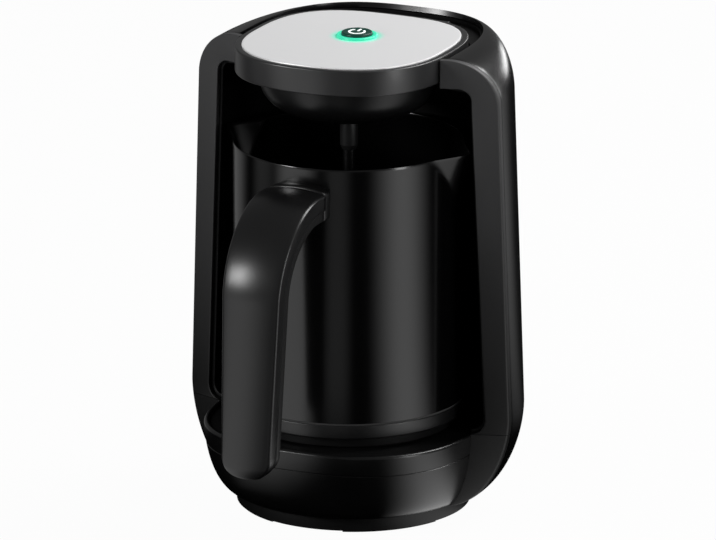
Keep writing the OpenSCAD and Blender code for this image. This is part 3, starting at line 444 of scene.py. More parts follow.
def brushed_group():
    """Brushed metal: noise stretched along one direction, as a colour factor, roughness and height."""
    tree, given, result = new_group("Brushed lines", {
        "Colour": (0.7, 0.7, 0.7, 1), "Scale": 60.0, "Darkness": 0.12, "Rough low": 0.25,
        "Rough high": 0.4})
    stretch = add(tree, "Mapping", {"Vector": position(tree), "Scale": (1, 60, 60)}).outputs[0]
    lines = add(tree, "TexNoise", {"Vector": stretch, "Scale": given["Scale"], "Detail": 5}).outputs["Fac"]
    dark = calc(tree, "MULTIPLY", lines, given["Darkness"])
    feed(tree, result, {"Colour": mix(tree, "RGBA", dark, given["Colour"], (0.2, 0.2, 0.2)),
                        "Roughness": mix(tree, "FLOAT", lines, given["Rough low"], given["Rough high"]),
                        "Height": lines})
    return tree


GROUPS, MATERIALS = {}, {}
GRAIN_DEPTH = 0.0004


def material(name, colour, pattern="moulded", rough=(0.3, 0.4), metallic=0.0, bump=0.1, grain=900.0,
             drift=0.1, spec=0.5, emission=None, strength=0.0, low=None, shade_span=(0.0, 0.001)):
    """A Principled material whose colour, roughness and bump come from one of the shared groups."""
    mat = bpy.data.materials.new(name)
    mat.use_nodes = True
    tree = mat.node_tree
    given = {"Colour": colour, "Rough low": rough[0], "Rough high": rough[1]}
    if pattern == "moulded":
        # low and the span of heights in metres give painted shade: the colour fades to low towards the foot
        given.update({"Grain scale": grain, "Drift": drift, "Low colour": low or colour,
                      "Low": shade_span[0], "High": shade_span[1]})
    else:
        given.update({"Scale": grain, "Darkness": drift})
    if pattern not in GROUPS:
        GROUPS[pattern] = moulded_group() if pattern == "moulded" else brushed_group()
    group = add(tree, "Group", given, node_tree=GROUPS[pattern]).outputs
    looks = {"Base Color": group["Colour"], "Roughness": group["Roughness"], "Metallic": metallic,
             "IOR": 1.5, "Specular IOR Level": spec}
    if bump:
        looks["Normal"] = add(tree, "Bump", {"Strength": bump, "Distance": GRAIN_DEPTH,
                                             "Height": group["Height"]}).outputs["Normal"]
    if emission:
        looks.update({"Emission Color": emission, "Emission Strength": strength})
    feed(tree, tree.nodes["Principled BSDF"], looks)
    mat.diffuse_color = (*colour, 1)
    return mat


# key, name, colour or its name in the panel, roughness, bump, grain, and drift and specular level
# where they aren't the usual ones
MOULDED = (
    ("shell", "Stand gloss", "shell", (0.2, 0.27), 0.02, 500, 0.01),
    ("bowl", "Bowl satin", "bowl", (0.26, 0.33), 0.08, 2600, 0.01),
    # painted shade: the bay's wall is part of the charcoal frame, coloured near black for the shade in the
    # recess
    ("bay", "Bay black", (0.0012, 0.0012, 0.0013), (0.5, 0.6), 0.1, 2200, 0.01, 0.2),
    ("deck", "Deck black", (0.002, 0.002, 0.0021), (0.5, 0.62), 0.25, 1500, 0.01, 0.15),
    ("ring", "Foot ring", (0.002, 0.002, 0.0021), (0.4, 0.5), 0.1, 2200, 0.01, 0.3),
    ("pot", "Pot gloss", "pot", (0.16, 0.2), 0.015, 300, 0.005),
    ("foot", "Pot foot", (0.004, 0.004, 0.0042), (0.3, 0.4), 0.08, 2400, 0.02),
    ("handle", "Handle satin", "handle", (0.27, 0.34), 0.06, 2600, 0.02),
    ("grip", "Handle back", (0.003, 0.003, 0.0031), (0.35, 0.45), 0.1, 2600, 0.02),
    ("band", "Lid band", "band", (0.3, 0.38), 0.05, 2600, 0.03),
    ("dome", "Dome black", (0.004, 0.004, 0.0042), (0.3, 0.36), 0.04, 2600, 0.01, 0.3),
    ("holder", "Probe holder", (0.01, 0.01, 0.0103), (0.3, 0.4), 0.08, 2400, 0.02),
    ("rubber", "Rubber", (0.02, 0.02, 0.02), (0.6, 0.75), 0.3, 1400),
    ("board", "Circuit board", (0.015, 0.09, 0.04), (0.35, 0.5), 0.3, 700),
    ("parts", "Board parts", (0.02, 0.02, 0.021), (0.4, 0.55), 0.1, 1400),
    ("wire", "Wire", (0.03, 0.03, 0.03), (0.5, 0.6), 0.1, 1500))
# key, name, colour, roughness, scale of the lines, their darkness
METALS = (("steel", "Plated steel", (0.5, 0.5, 0.51), (0.25, 0.4), 90, 0.3),
          ("probe", "Probe steel", (0.1, 0.1, 0.103), (0.2, 0.32), 120, 0.3),
          ("brass", "Contacts", (0.62, 0.45, 0.2), (0.25, 0.4), 120, 0.25))


def finishes():
    """Every finish of the object, made once."""
    if MATERIALS:
        return MATERIALS
    c = colours()
    for key, name, colour, rough, *rest in MOULDED:
        MATERIALS[key] = material(name, c.get(colour, colour), "moulded", rough, 0.0, *rest)
    for key, name, colour, rough, scale, darkness in METALS:
        MATERIALS[key] = material(name, colour, "brushed", rough, 1.0, 0.05, scale, darkness)
    MATERIALS.update(
        # painted shade: the frame's colour fades to near black from 185 mm down to 45 mm above the table,
        # darker towards the foot where less light falls
        frame=material("Frame satin", c["frame"], rough=(0.42, 0.52), grain=2600, drift=0.05, spec=0.35,
                       low=(0.001, 0.001, 0.001), shade_span=(0.045, 0.185)),
        alu=material("Cast plate", (0.6, 0.6, 0.61), rough=(0.4, 0.55), metallic=0.9, bump=0.3),
        glow=material("Lit ring", c["glow"], bump=0, emission=c["glow"], strength=0.8),
        # painted glow: the cap and the mark are no lamps, but emission makes the cap shine faint green and
        # the mark shine bright
        cap=material("Button cap", (0.001, 0.02, 0.014), rough=(0.3, 0.38), bump=0.02, drift=0.01,
                     spec=0.3, emission=(0.0, 0.25, 0.16), strength=0.1),
        mark=material("Button mark", (0.85, 0.9, 0.88), rough=(0.4, 0.5), bump=0,
                      emission=(0.9, 1.0, 0.97), strength=0.55),
        plate=plate_material(c))
    return MATERIALS


# painted light: the ring's green glow is painted into the plate's colour and emission round the button
HALO = (0.0074, 0.0122)  # the ring's light on the plate, from full to none, as distances in metres


def plate_material(c):
    """The lid's plate: brushed metal, with the ring's green light painted into its colour and emission,
    falling off round the button.
    """
    mat = material("Top plate", c["plate"], "brushed", (0.38, 0.48), 0.35, 0.04, 30.0, 0.04)
    tree = mat.node_tree
    shader = tree.nodes["Principled BSDF"]
    middle = (0, BUTTON_Y / 1000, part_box("top_plate")[1].z)
    away = add(tree, "VectorMath", {0: position(tree), 1: middle}, operation="DISTANCE").outputs["Value"]
    lit = add(tree, "MapRange", {"Value": away, "From Min": HALO[0], "From Max": HALO[1], "To Min": 1,
                                 "To Max": 0}, interpolation_type="SMOOTHERSTEP").outputs["Result"]
    metal = shader.inputs["Base Color"].links[0].from_socket
    feed(tree, shader, {"Emission Color": mix(tree, "RGBA", lit, (0, 0, 0), (0.0, 0.3, 0.2)),
                        "Emission Strength": 0.6,
                        "Base Color": mix(tree, "RGBA", lit, metal, (0.3, 0.92, 0.7))})
    return mat


# ---- pieces of the stand
def make_shell():
    """The gloss shell: rings of the body's outline from the right arm round the back to the left arm,
    stacked from the foot to the opening, then given the wall's thickness inwards."""
    lv, s = levels(), sizes()
    foot, shoulder = lv["foot"], lv["top"] - SHOULDER
    z = np.concatenate([foot + (WAIST - foot) * np.linspace(0, 1, 26) ** 1.7,
                        np.linspace(WAIST, shoulder, 26)[1:],
                        shoulder + SHOULDER * np.sin(np.linspace(0, np.pi / 2, 22))[1:]])[:, None]
    side, back, n = outline(z, lv)
    edge = face_y(side) + s["face_thickness"] + 0.2
    start = np.sign(edge) * np.arcsin((np.abs(edge) / np.where(edge < 0, side, back)) ** (n / 2))
    x, y = egg(sweep(start, 121), side, side, back, n, n)
    obj = patch("gloss_shell", points(x, y, z), flip=True, smooth_deg=60)
    wall(obj, s["shell_wall"])
    finish_piece(obj, "stand", "shell", "shell_gloss", "outer_shell")


def strip_section(inner, outer, depth, radius):
    """The closed cross-section of a flat-faced arm at each station: from its inner front edge across the
    face to its outer front edge, back by the depth and home, with both front edges rounded."""
    across = outer - inner
    width = np.linalg.norm(across, axis=1, keepdims=True)
    unit = across / np.maximum(width, 1e-6)
    r = np.minimum(radius, width * 0.4)
    t = np.linspace(0, 1, 6)[None, :, None]
    back = np.array([0, 1.0, 0])

    def corner(p, before, after):
        return arc_between((p + before * r)[:, None], p[:, None], (p + after * r)[:, None], t)

    return np.concatenate([corner(inner, back, unit), corner(outer, -unit, back),
                           (outer + back * depth)[:, None], (inner + back * depth)[:, None]], 1)


def arm_edges(lv):
    """The arm's inner and outer edges on its face: up the arm, round the bay's corner, along the roof to
    the lid and up beside it; the outer edge follows the shoulder's arc meanwhile."""
    shoulder, foot, top = lv["top"] - SHOULDER, lv["frame_foot"], lv["top"]
    z = np.concatenate([foot + BAY_FOOT * (1 - np.cos(np.linspace(0, np.pi / 2, 12))),
                        np.linspace(foot + BAY_FOOT, shoulder, 44)[1:]])
    outer, inner = on_plane(outer_x(z, lv), z), on_plane(on_face(bay_radius(z)), z)
    z = np.concatenate([[shoulder], ROOF - BAY_CORNER + BAY_CORNER * np.sin(np.linspace(0, np.pi / 2, 25))])
    edge = meet_face(LID["half"] + LID_GAP, LID["front"] + LID_GAP, LID["n_front"])
    low, high = on_plane(edge, ROOF), on_plane(edge, top)
    roof = np.concatenate([on_plane(on_face(bay_radius(z)), z), low[None]])
    z = shoulder + SHOULDER * np.sin(np.linspace(0, np.pi / 2, 120))
    arc = on_plane(outer_x(z, lv), z)
    split = 82  # the arc's point that stands over the lid's edge
    inner = np.concatenate([inner, resample(roof, 30)[1:], resample(np.stack([low, high]), 12)[1:]])
    outer = np.concatenate([outer, resample(arc[:split + 1], 30)[1:], resample(arc[split:], 12)[1:]])
    return inner, outer


def make_frame():
    """The charcoal frame: each arm is its face's cross-section carried up the arm and over the arch,
    and the bay is a turned wall with a rounded roof and foot, open to the front."""
    lv, s = levels(), sizes()
    P = strip_section(*arm_edges(lv), s["face_thickness"], s["edge_radius"])
    for side, name in ((1, "arm_right"), (-1, "arm_left")):
        arm = sheet(name, P * np.array([side, 1, 1]), caps=True, smooth_deg=50)
        finish_piece(arm, "stand", "frame", "frame_satin", "front_frame")
    # the bay's wall, by profile and angle
    corner = np.linspace(0, np.pi / 2, 9)
    z = np.concatenate([ROOF - BAY_CORNER + BAY_CORNER * np.cos(corner),
                        np.linspace(ROOF - BAY_CORNER, lv["frame_foot"] + BAY_FOOT, 30)[1:],
                        lv["frame_foot"] + BAY_FOOT * (1 - np.sin(corner))[1:]])[:, None]
    r = bay_radius(z)
    t = sweep(np.arcsin((face_y(r) + s["face_thickness"] - 0.3) / r), 97)
    # the roof runs in from the corner to the lid's edge
    lid_r = np.interp(t[0], *sorted_polar(*lid_outline(np.linspace(0, 2 * np.pi, 721), 1.2)))
    roof = [polar(lid_r + (r[0] - lid_r) * k, t[0], ROOF) for k in (0, 0.5)]
    bay = patch("bay_wall", np.concatenate([roof, polar(r, t, z)]), smooth_deg=50)
    wall(bay, 1.5, 0.3)
    # the bay's wall takes the near-black finish of painted shade in the recess
    finish_piece(bay, "stand", "bay", "frame_satin", "front_frame")


def sorted_polar(x, y):
    """Angles and radii of a closed curve about the axis, sorted by angle from -90 to 270 degrees."""
    a = np.arctan2(y, x)
    a = np.where(a < -np.pi / 2, a + 2 * np.pi, a)
    order = np.argsort(a)
    return a[order], np.hypot(x, y)[order]


def bowl_ring(z, t, lv, inset=0.0):
    """The bowl's outline at a height: from the foot ring's circle to a squarer rim."""
    k = taper(z, lv["foot"], lv["rim"])
    base = RING + 1
    half, front = base + (BOWL_HALF - base) * k - inset, base + (BOWL_FRONT - base) * k - inset
    x, y = egg(t, half, front, half, 2 + BOWL_SQUARE * k, 2.0)
    return x, y + RING_BACK


def face_cross(z, lv):
    """x where the bowl's outline at a height crosses the arms' face."""
    x, y = bowl_ring(z, np.linspace(-np.pi / 2, 0.2, 1200), lv)
    return x[np.argmin(np.abs(y - face_y(x)) + (x < 20) * 99)]


def make_bowl():
    """The base: the bowl's outlines stacked with a fine seam cut round them and a rounded rim, and on each
    side the strip that carries the arm's face down to the foot."""
    lv, s = levels(), sizes()
    low, rim, lip = lv["foot"], lv["rim"], 1.2
    z = low + (rim - lip - low) * np.linspace(0, 1, 30) ** 1.6
    z = np.sort(np.concatenate([z, SEAM + np.array([-0.34, -0.3, -0.12, 0.12, 0.3, 0.34])]))
    inset = np.where(np.abs(z - SEAM) < 0.2, 0.2, 0.0)
    q = np.linspace(0, np.pi / 2, 7)
    z = np.concatenate([z, rim - lip + lip * np.sin(q), rim - lip + lip * np.sin(q[::-1])[1:], [rim - 3.4]])
    inset = np.concatenate([inset, lip - lip * np.cos(q), lip + lip * np.cos(q[::-1])[1:], [2 * lip]])
    # each ring runs between the two points where it meets the arms' plane
    rows = []
    for zi, d in zip(z, inset):
        x, y = bowl_ring(zi, np.linspace(-np.pi, 0, 2001), lv, d)
        keep = y <= face_y(np.abs(x)) + s["face_thickness"] - 0.2
        rows.append(resample(points(x[keep], y[keep], zi), 141))
    finish_piece(patch("bowl", np.array(rows), smooth_deg=50), "stand", "bowl", "bowl_satin", "base_bowl")
    z = low + (rim - low) * np.linspace(0, 1, 40) ** 1.6
    outer = on_face(outline(z, lv)[0])
    inner = np.minimum(np.array([face_cross(zi, lv) for zi in z]) - 0.6, outer - 0.5)
    P = strip_section(on_plane(inner, z), on_plane(outer, z), s["face_thickness"], s["edge_radius"])
    for flip, name in ((1, "base_side_right"), (-1, "base_side_left")):
        side = sheet(name, P * np.array([flip, 1, 1]), caps=True, smooth_deg=50)
        finish_piece(side, "stand", "frame", "bowl_satin", "base_bowl")


# ---- pieces of the lid
def lid_loop(profile, steps=256):
    """A profile of (inset, height) points carried round the lid's outline."""
    return np.array([points(*lid_outline(angles(steps), inset), float(z)) for inset, z in profile])


def make_lid():
    """The lid's band is a rounded section carried round the squircle; its hinge is a turned barrel with a
    web that runs under the band."""
    lv = levels()
    z0, z1, top, rim, inner = lv["lid"], lv["band_top"], lv["plate"] - 0.6, LID_RIM, LID_RIM + 1.6
    section = rounded([(0, z0), (0, z1), (rim, z1), (rim, top), (inner, top), (inner, z0 + 2.6),
                       (1.8, z0 + 2.6), (1.8, z0)], [0.9, 0.7, 0.25, 0, 0, 0, 0, 0.5])
    band = sheet("lid_band", lid_loop(section), wrap_u=True, smooth_deg=50)
    finish_piece(band, "lid", "band", "band_satin", "lid_shell")
    low, high = box_mm("hinge_pin")
    y, z = (low[1] + high[1]) / 2, (low[2] + high[2]) / 2
    w, root, half = HINGE_HALF, LID["back"] - 1.6, HINGE_R / 2
    x, r = rounded([(-w, HINGE_BORE), (-w, HINGE_R), (w, HINGE_R), (w, HINGE_BORE)], [0, 0.5, 0.5, 0]).T
    t = angles(48)[:, None]
    barrel = sheet("barrel", points(x, y + np.cos(t) * r, z + np.sin(t) * r), wrap_u=True)
    sec = rounded([(root, z - half), (y - 1, z - half), (y - 1, z + half), (root, z + half)], 0.5)
    web = sheet("web", np.stack([points(x, *sec.T) for x in (-w, -w + 0.01, w - 0.01, w)]), caps=True)
    finish_piece(join("lid_hinge_barrel", [barrel, web]), "lid", "band", "band_satin", "lid_shell")


def make_plate():
    """The metal plate: rings of the lid's outline drawn in towards the button's hole."""
    lv = levels()
    low, high, edge = lv["plate"], lv["plate_top"], LID_RIM + 0.2
    P = lid_loop([(edge, low), (edge, high - 0.3), (edge + 0.08, high - 0.1), (edge + 0.3, high),
                  (edge + 1, high)], 288)
    t = np.arctan2(P[-1][:, 1] - BUTTON_Y, P[-1][:, 0])
    hole = polar(BUTTON_HOLE, t, high, BUTTON_Y)
    steps = np.linspace(0, 1, 14)[1:, None, None]
    P = np.concatenate([P, P[-1][None] * (1 - steps) + hole[None] * steps, (hole - [0, 0, 0.8])[None]])
    obj = patch("plate", P, wrap_v=True, flip=True, smooth_deg=40)
    turn_faces(obj, up=True)
    finish_piece(obj, "lid", "plate", "plate_steel", "top_plate")


def make_button():
    """The power button: a turned cap with a shallow dish, its mark, and the lit ring round it."""
    r, plate = sizes()["button_radius"], levels()["plate"]
    top, ring_top = box_mm("power_button")[1][2], box_mm("light_ring")[1][2]
    stem, centre = 3.0, 0.001
    low, skirt = plate - 5.2, plate - 1.4
    profile = rounded([(centre, low), (stem, low), (stem, skirt), (r, skirt), (r, top), (r - 1.2, top),
                       (r - 2.2, top - 0.16), (centre, top - 0.18)], [0, 0, 0.2, 0.2, 0.7, 0.6, 1, 0])
    cap = turned("button_cap", profile, 96, BUTTON_Y)
    finish_piece(cap, "button", "cap", "button_dark", "power_button")
    near, far, low = r + 0.3, r + 1.9, plate - 2.5
    profile = rounded([(near, low), (far, low), (far, ring_top), (near, ring_top)], [0, 0, 0.5, 0.3])
    finish_piece(turned("lit_ring", profile, 96, BUTTON_Y), "lid", "glow", "glow_ring", "light_ring")
    # the mark: an open ring with a bar in its gap
    t = np.radians(np.linspace(90 + 38, 450 - 38, 60))
    mid, half, z0, z1 = 3.1, 0.42, top - 0.22, top - 0.06
    section = ((-half, z0), (-half, z1), (half, z1), (half, z0))
    arc = sheet("arc", np.stack([polar(mid + a, t, z, BUTTON_Y) for a, z in section], 1), caps=True)
    bar = np.array([[(x, y, z) for x, z in section] for y in (BUTTON_Y + 0.9, BUTTON_Y + 4.0)])
    finish_piece(join("button_mark", [arc, sheet("bar", bar, caps=True)]), "button", "mark", "button_dark")


def make_dome():
    """The dome: a quarter of a superellipse turned round the axis, r = a cos^(2/n) t and
    z = mouth - depth sin^(2/n) t, from the hole for the probe to the lid's flange, and the flat
    underside between the dome's circle and the lid's outline."""
    lv, s = levels(), sizes()
    a, depth, mouth, top = s["dome_radius"], s["dome_depth"], lv["lid"] + 0.6, lv["lid"] + 2.3

    def arc(a, depth, k):
        t = math.acos((DOME_HOLE / a) ** (DOME_N / 2)) * k
        return np.stack([a * np.cos(t) ** (2 / DOME_N), mouth - depth * power(np.sin(t), 2 / DOME_N)], -1)

    k = np.linspace(0, 1, 48) ** 1.7
    profile = np.concatenate([arc(a, depth, k[::-1]), [(a, top), (a - DOME_WALL, top)],
                              arc(a - DOME_WALL, depth - DOME_WALL, k[::2])])
    finish_piece(turned("dome", profile, 160, smooth_deg=45), "lid", "dome", "dome_black", "lid_dome")
    low = lv["lid"] + 0.25
    section = rounded([(2.0, low), (2.0, top), (7.2, top), (7.2, low)], 0.2)
    flange = sheet("lid_flange", lid_loop(section), wrap_u=True)
    edge = lid_loop([(5.0, lv["lid"] + 0.3)])[0]
    circle = polar(a - 0.1, np.arctan2(edge[:, 1], edge[:, 0]), edge[:, 2])
    k = np.linspace(0, 1, 4)[:, None, None]
    fill = patch("fill", edge * (1 - k) + circle * k, wrap_v=True)
    finish_piece(join("lid_underside", [flange, fill]), "lid", "dome", "dome_black", "lid_dome")


# ---- pieces of the pot
def vessel_radius(angle, z, s, inset):
    """The pot's radius by angle and height: a cylinder, and at each lip a wedge with straight sides in
    plan, r (cos a + m |sin a|) = reach, whose reach grows up to the rim; the crease at its nose and the
    line where it leaves the wall are smoothed."""
    R, rim, tall = s["pot_radius"], s["rim_height"], s["lip_height"]
    up = np.clip((z - rim + tall) / tall, 0, 1)
    reach = R - 1.2 + (s["lip_reach"] + 1.2) * up - 1.2 * inset
    a = np.abs((angle + np.pi / 2) % np.pi - np.pi / 2)
    bent = np.sqrt(np.sin(a) ** 2 + LIP_NOSE ** 2) - LIP_NOSE * 0.4
    line = np.where((a < LIP_SPREAD) & (up > 0), reach / (np.cos(a) + LIP_SLOPE * bent), 0)
    side = R - inset
    h = np.clip(0.5 + 0.5 * (line - side) / LIP_SOFT, 0, 1)
    return side + (line - side) * h + LIP_SOFT * h * (1 - h)


def make_pot():
    """The pot: its radius by angle and height, up the outside, over a rounded rim and down the inside to
    the floor."""
    s = sizes()
    base, rim = box_mm("foot_seal")[1][2] + 0.05, s["rim_height"]
    a = angles(720)
    a = a - 0.3 * np.sin(2 * a)  # closer together near the lips
    z = np.concatenate([np.linspace(base, rim - 27, 14), np.linspace(rim - 27, rim - 0.4, 30)[1:]])
    rows = [(h, 0.0) for h in z] + [(rim - 0.12, 0.1), (rim, 0.4), (rim - 0.12, 0.7)]
    rows += [(h, POT_WALL) for h in z[::-1] if h > POT_FLOOR + 0.3]
    P = [polar(vessel_radius(a, h, s, inset), a, h) for h, inset in rows]
    P += [polar(43.8, a, POT_FLOOR + 0.7), *(polar(r, a, POT_FLOOR) for r in (42.5, 30, 15, 0.01))]
    obj = patch("pot", np.array(P), wrap_v=True, smooth_deg=30)
    finish_piece(obj, "pot", "pot", "pot_gloss", "pot_vessel")


def make_pot_foot():
    """The pot's foot: a turned band with a shadow gap over it and a narrower skirt under it."""
    low, high = box_mm("pot_foot")
    z, top, R, bore = low[2], high[2], high[0], 17.7
    profile = rounded([(bore, z), (R - 3.5, z), (R - 3.4, z + 4.1), (R, z + 4.1), (R, top), (R - 2.3, top),
                       (R - 2.4, z + 6), (R - 6, z + 2.2), (bore, z + 2.2)],
                      [0, 0.3, 0.2, 0.7, 0.4, 0.2, 1, 1, 0])
    foot = turned("pot_band", profile, 160, smooth_deg=40)
    finish_piece(foot, "pot", "foot", "foot_black", "pot_foot")


def handle_path(s, inset):
    """The handle's outline at a depth under its outer face, as reach and height: level from the pot, round
    a superelliptic bend, then leaning outwards to its end."""
    top, bend = s["rim_height"] - HANDLE_DROP, s["handle_bend"]
    t, r, e = np.linspace(np.pi / 2, 0, 26), bend - inset, 2 / HANDLE_BEND_N
    centre = np.array([s["handle_reach"] - bend, top - bend])
    arc = centre + r * power(np.stack([np.cos(t), np.sin(t)], -1), e)
    start = np.array([[s["pot_radius"] + 3.2, top - inset]])
    end = np.array([s["handle_reach"] + s["handle_lean"] - inset, HANDLE_LOW + 5])
    k = 1 - (1 - np.linspace(0, 1, 32)[1:, None]) ** 1.6
    return np.concatenate([start, start + (arc[0] - start) * 0.5, arc, arc[-1] * (1 - k) + end * k])


def oblong(half, deep, radius, crown):
    """Cross-sections with round corners, one for each station: x across and y outwards, with the outer
    side crowned by -crown (x/half)^2."""
    q = np.linspace(0, np.pi / 2, 6)
    h, d = half[:, None], deep[:, None]
    r = np.minimum(np.minimum(radius, 0.45 * h), 0.45 * d)
    k = np.linspace(1, -1, 11)[None, 1:-1]
    xs, ys = [], []
    for turn, (sx, sy) in enumerate(((1, 1), (-1, 1), (-1, -1), (1, -1))):
        a = q + turn * np.pi / 2
        xs.append(sx * (h - r) + r * np.cos(a))
        ys.append(sy * (d - r) + r * np.sin(a))
        if turn in (0, 2):
            xs.append((h - r) * k * sy)
            ys.append(np.broadcast_to(sy * d, xs[-1].shape))
    x, y = np.concatenate(xs, 1), np.concatenate(ys, 1)
    return x, y - crown[:, None] * np.clip(y / d, 0, 1) * (x / h) ** 2


def handle_half(z, s):
    """Half the handle's width by height: it narrows from the pot to the bend and on to its end, whose
    corners are quarter circles."""
    bend_z = s["rim_height"] - HANDLE_DROP - s["handle_bend"]
    low = np.clip((bend_z - z) / (bend_z - HANDLE_LOW), 0, 1)
    high = np.clip((z - bend_z) / s["handle_bend"], 0, 1)
    below = np.clip(HANDLE_LOW + HANDLE_END - z, 0, HANDLE_END)
    corner = HANDLE_END - np.sqrt(HANDLE_END ** 2 - below ** 2)
    return HANDLE_HALF + np.where(z > bend_z, 1.2 * high, -1.8 * low) - corner


def handle_body(name, near, far, pinch, s, tail, crown):
    """A part of the handle between two depths: its cross-section is an oblong with tight corners carried
    down the path, bevelled where it starts at the pot and drawn in to a round end."""
    bevel = 0.7
    a, b = handle_path(s, near), handle_path(s, far)
    step = (a[1] - a[0]) / np.linalg.norm(a[1] - a[0]) * bevel
    q = np.linspace(0, np.pi / 2, 9)[1:, None]
    axis, down = b[-1] - a[-1], np.array([0.05, -1.0]) * tail[1]
    inwards, down = axis * (1 - np.cos(q)), down * np.sin(q)
    a = np.concatenate([a[:1], a[:1] + step, a[1:], a[-1] + inwards * tail[0] + down])
    b = np.concatenate([b[:1], b[:1] + step, b[1:], b[-1] - inwards * tail[2] + down])
    mid, deep = (a + b) / 2, (a - b) / 2
    shrink = np.zeros(len(a))
    shrink[0] = bevel
    size = np.linalg.norm(deep, axis=1)
    half = handle_half(mid[:, 1], s) - pinch
    x, y = oblong(half - shrink, size - shrink, 1.3, crown * np.linspace(1, 0.6, len(a)))
    yz = mid[:, None, :] + (deep / size[:, None])[:, None, :] * y[..., None]
    return sheet(name, points(x, -yz[..., 0], yz[..., 1]), caps=True, smooth_deg=48)


def make_handle():
    """The handle: its front and back shells and the bracket that holds it to the pot."""
    s = sizes()
    front = handle_body("handle_front", 0, 8.4, 0.0, s, (0.35, 4.9, 0.2), 1.7)
    finish_piece(front, "pot", "handle", "handle_black", "handle_outer")
    back = handle_body("handle_back", 7.9, s["handle_thickness"], 0.6, s, (0.1, 1.6, 0.3), 0.0)
    finish_piece(back, "pot", "grip", "handle_grey", "handle_inner")
    low, high = box_mm("handle_bracket")
    half, deep, middle, R = high[0], (high[2] - low[2]) / 2, (low[2] + high[2]) / 2, s["pot_radius"]
    rows = []
    for y, inset in ((low[1], 0.9), (low[1] + 0.3, 0.25), (low[1] + 0.9, 0.0), (-R, 0.0), (np.inf, 0.0)):
        (x,), (z,) = oblong(np.array([half - inset]), np.array([deep - inset]), 2.0, np.array([2.0]))
        rows.append(points(x, np.minimum(y, 0.2 - np.sqrt(R ** 2 - x ** 2)), z + middle))
    bracket = sheet("bracket", np.array(rows), caps=True, smooth_deg=50)
    finish_piece(bracket, "pot", "handle", "handle_black", "handle_bracket")


# ---- plain nodes and the stage
NODE_FINISH = {
    "deck": "top_deck pot_deck bottom_plate cord_gland",
    "ring": "foot_ring",
    "parts": "base_coupler board_parts gland_nut control_parts switch_plunger pot_coupler",
    "steel": "hinge_pin bottom_screws board_screws dome_screws control_screws probe_nut foot_screws "
             "thermostat handle_screws",
    "brass": "coupler_pin heating_element",
    "alu": "heater_plate",
    "rubber": "rubber_feet foot_seal",
    "board": "power_board control_board",
    "wire": "body_harness probe_lead",
    "holder": "probe_holder",
    "probe": "overflow_probe"}


def dress_nodes():
    """Gives the nodes that show as they are their finishes."""
    for finish, nodes in NODE_FINISH.items():
        for node in nodes.split():
            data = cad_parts[node].data
            data.materials.clear()
            data.materials.append(finishes()[finish])


AZIMUTH, ELEVATION, AWAY = math.radians(25), math.radians(16.5), 4.0
TARGET, SENSOR, VIEW_W = Vector((0.00326, 0.00152, 0.0969)), 36, 716 / 2.5 / 1000
LAMPS = (("spot_left", (-0.66, -0.9, 0.5), (0.24, 0.3), 6.0, (0, -0.06, 0.1)),
         ("box_right", (1.0, -0.25, 0.35), (0.2, 0.7), 3.2, (0, 0, 0.1)),
         ("box_back", (0.62, 0.85, 0.5), (0.25, 0.8), 1.6, (0, 0, 0.1)),
         ("box_rim", (0.1, 1.2, 0.28), (0.35, 0.2), 1.2, (0, 0, 0.18)),
         ("box_top", (0.45, 0.55, 0.95), (0.6, 0.6), 13, (0, 0, 0.15)))
# the pale cards that the gloss pieces mirror: direction, half width and soft edge in degrees,
# strength, and the distances in metres over which each one fades in from the object
CARDS = ((77, 2, 34, 1.5, 0.0, 0.02), (146, 2, 20, 0.55, 0.12, 0.5), (-28, 8, 18, 1.2, 0.06, 0.13),
         (-118, 10, 20, 0.28, 0.12, 0.2), (-66, 4, 14, 0.3, 0.2, 0.6), (14, 4, 12, 0.3, 0.14, 0.24))


def aim(direction):
    """The rotation that points a camera or a lamp along a direction."""
    return direction.to_track_quat("-Z", "Y").to_euler()


def lamp(name, place, size, watts, target):
    data = bpy.data.lights.new(name, "AREA")
    data.shape, data.size, data.size_y, data.energy = "RECTANGLE", size[0], size[1], watts
    obj = link(name, data)
    obj.location, obj.rotation_euler = place, aim(Vector(target) - Vector(place))


def make_camera():
    """The camera of the photograph, far off with a long lens."""
    data = bpy.data.cameras.new("Camera")
    data.sensor_width, data.lens = SENSOR, SENSOR * AWAY / VIEW_W
    data.clip_start, data.clip_end = 0.1, 20
    cam = link("Camera", data)
    level = math.cos(ELEVATION)
    back = Vector((math.sin(AZIMUTH) * level, -math.cos(AZIMUTH) * level, math.sin(ELEVATION)))
    cam.location, cam.rotation_euler = TARGET + back * AWAY, aim(-back)
    bpy.context.scene.camera = cam


def make_stage():
    """The camera, the lamps, the sky, and a floor that the camera sees white and mirrors see as cards."""
    scene = bpy.context.scene
    scene.view_settings.view_transform = "Standard"
    make_camera()
    x, y = np.meshgrid(*[np.linspace(-2500, 2500, 3)] * 2, indexing="ij")
    floor = patch("floor", points(x, y, -0.02))
    turn_faces(floor, up=True)
    mat = bpy.data.materials.new("Floor paper")
    mat.use_nodes = True
    shader = mat.node_tree.nodes["Principled BSDF"]
    paper = {"Base Color": colours()["paper"], "Roughness": 0.9, "Specular IOR Level": 0.0}
    feed(mat.node_tree, shader, paper)
    floor.data.materials.append(mat)
    white_to_camera(mat.node_tree, shader, "Material Output", "Emission", 0.97, cards(mat.node_tree))
    scene.world = bpy.data.worlds.new("Studio")
    scene.world.use_nodes = True
    tree = scene.world.node_tree
    sky = tree.nodes["Background"]
    feed(tree, sky, {"Color": (1, 1, 1), "Strength": 0.16})
    white_to_camera(tree, sky, "World Output", "Background", 1.0)
    for values in LAMPS:
        lamp(*values)


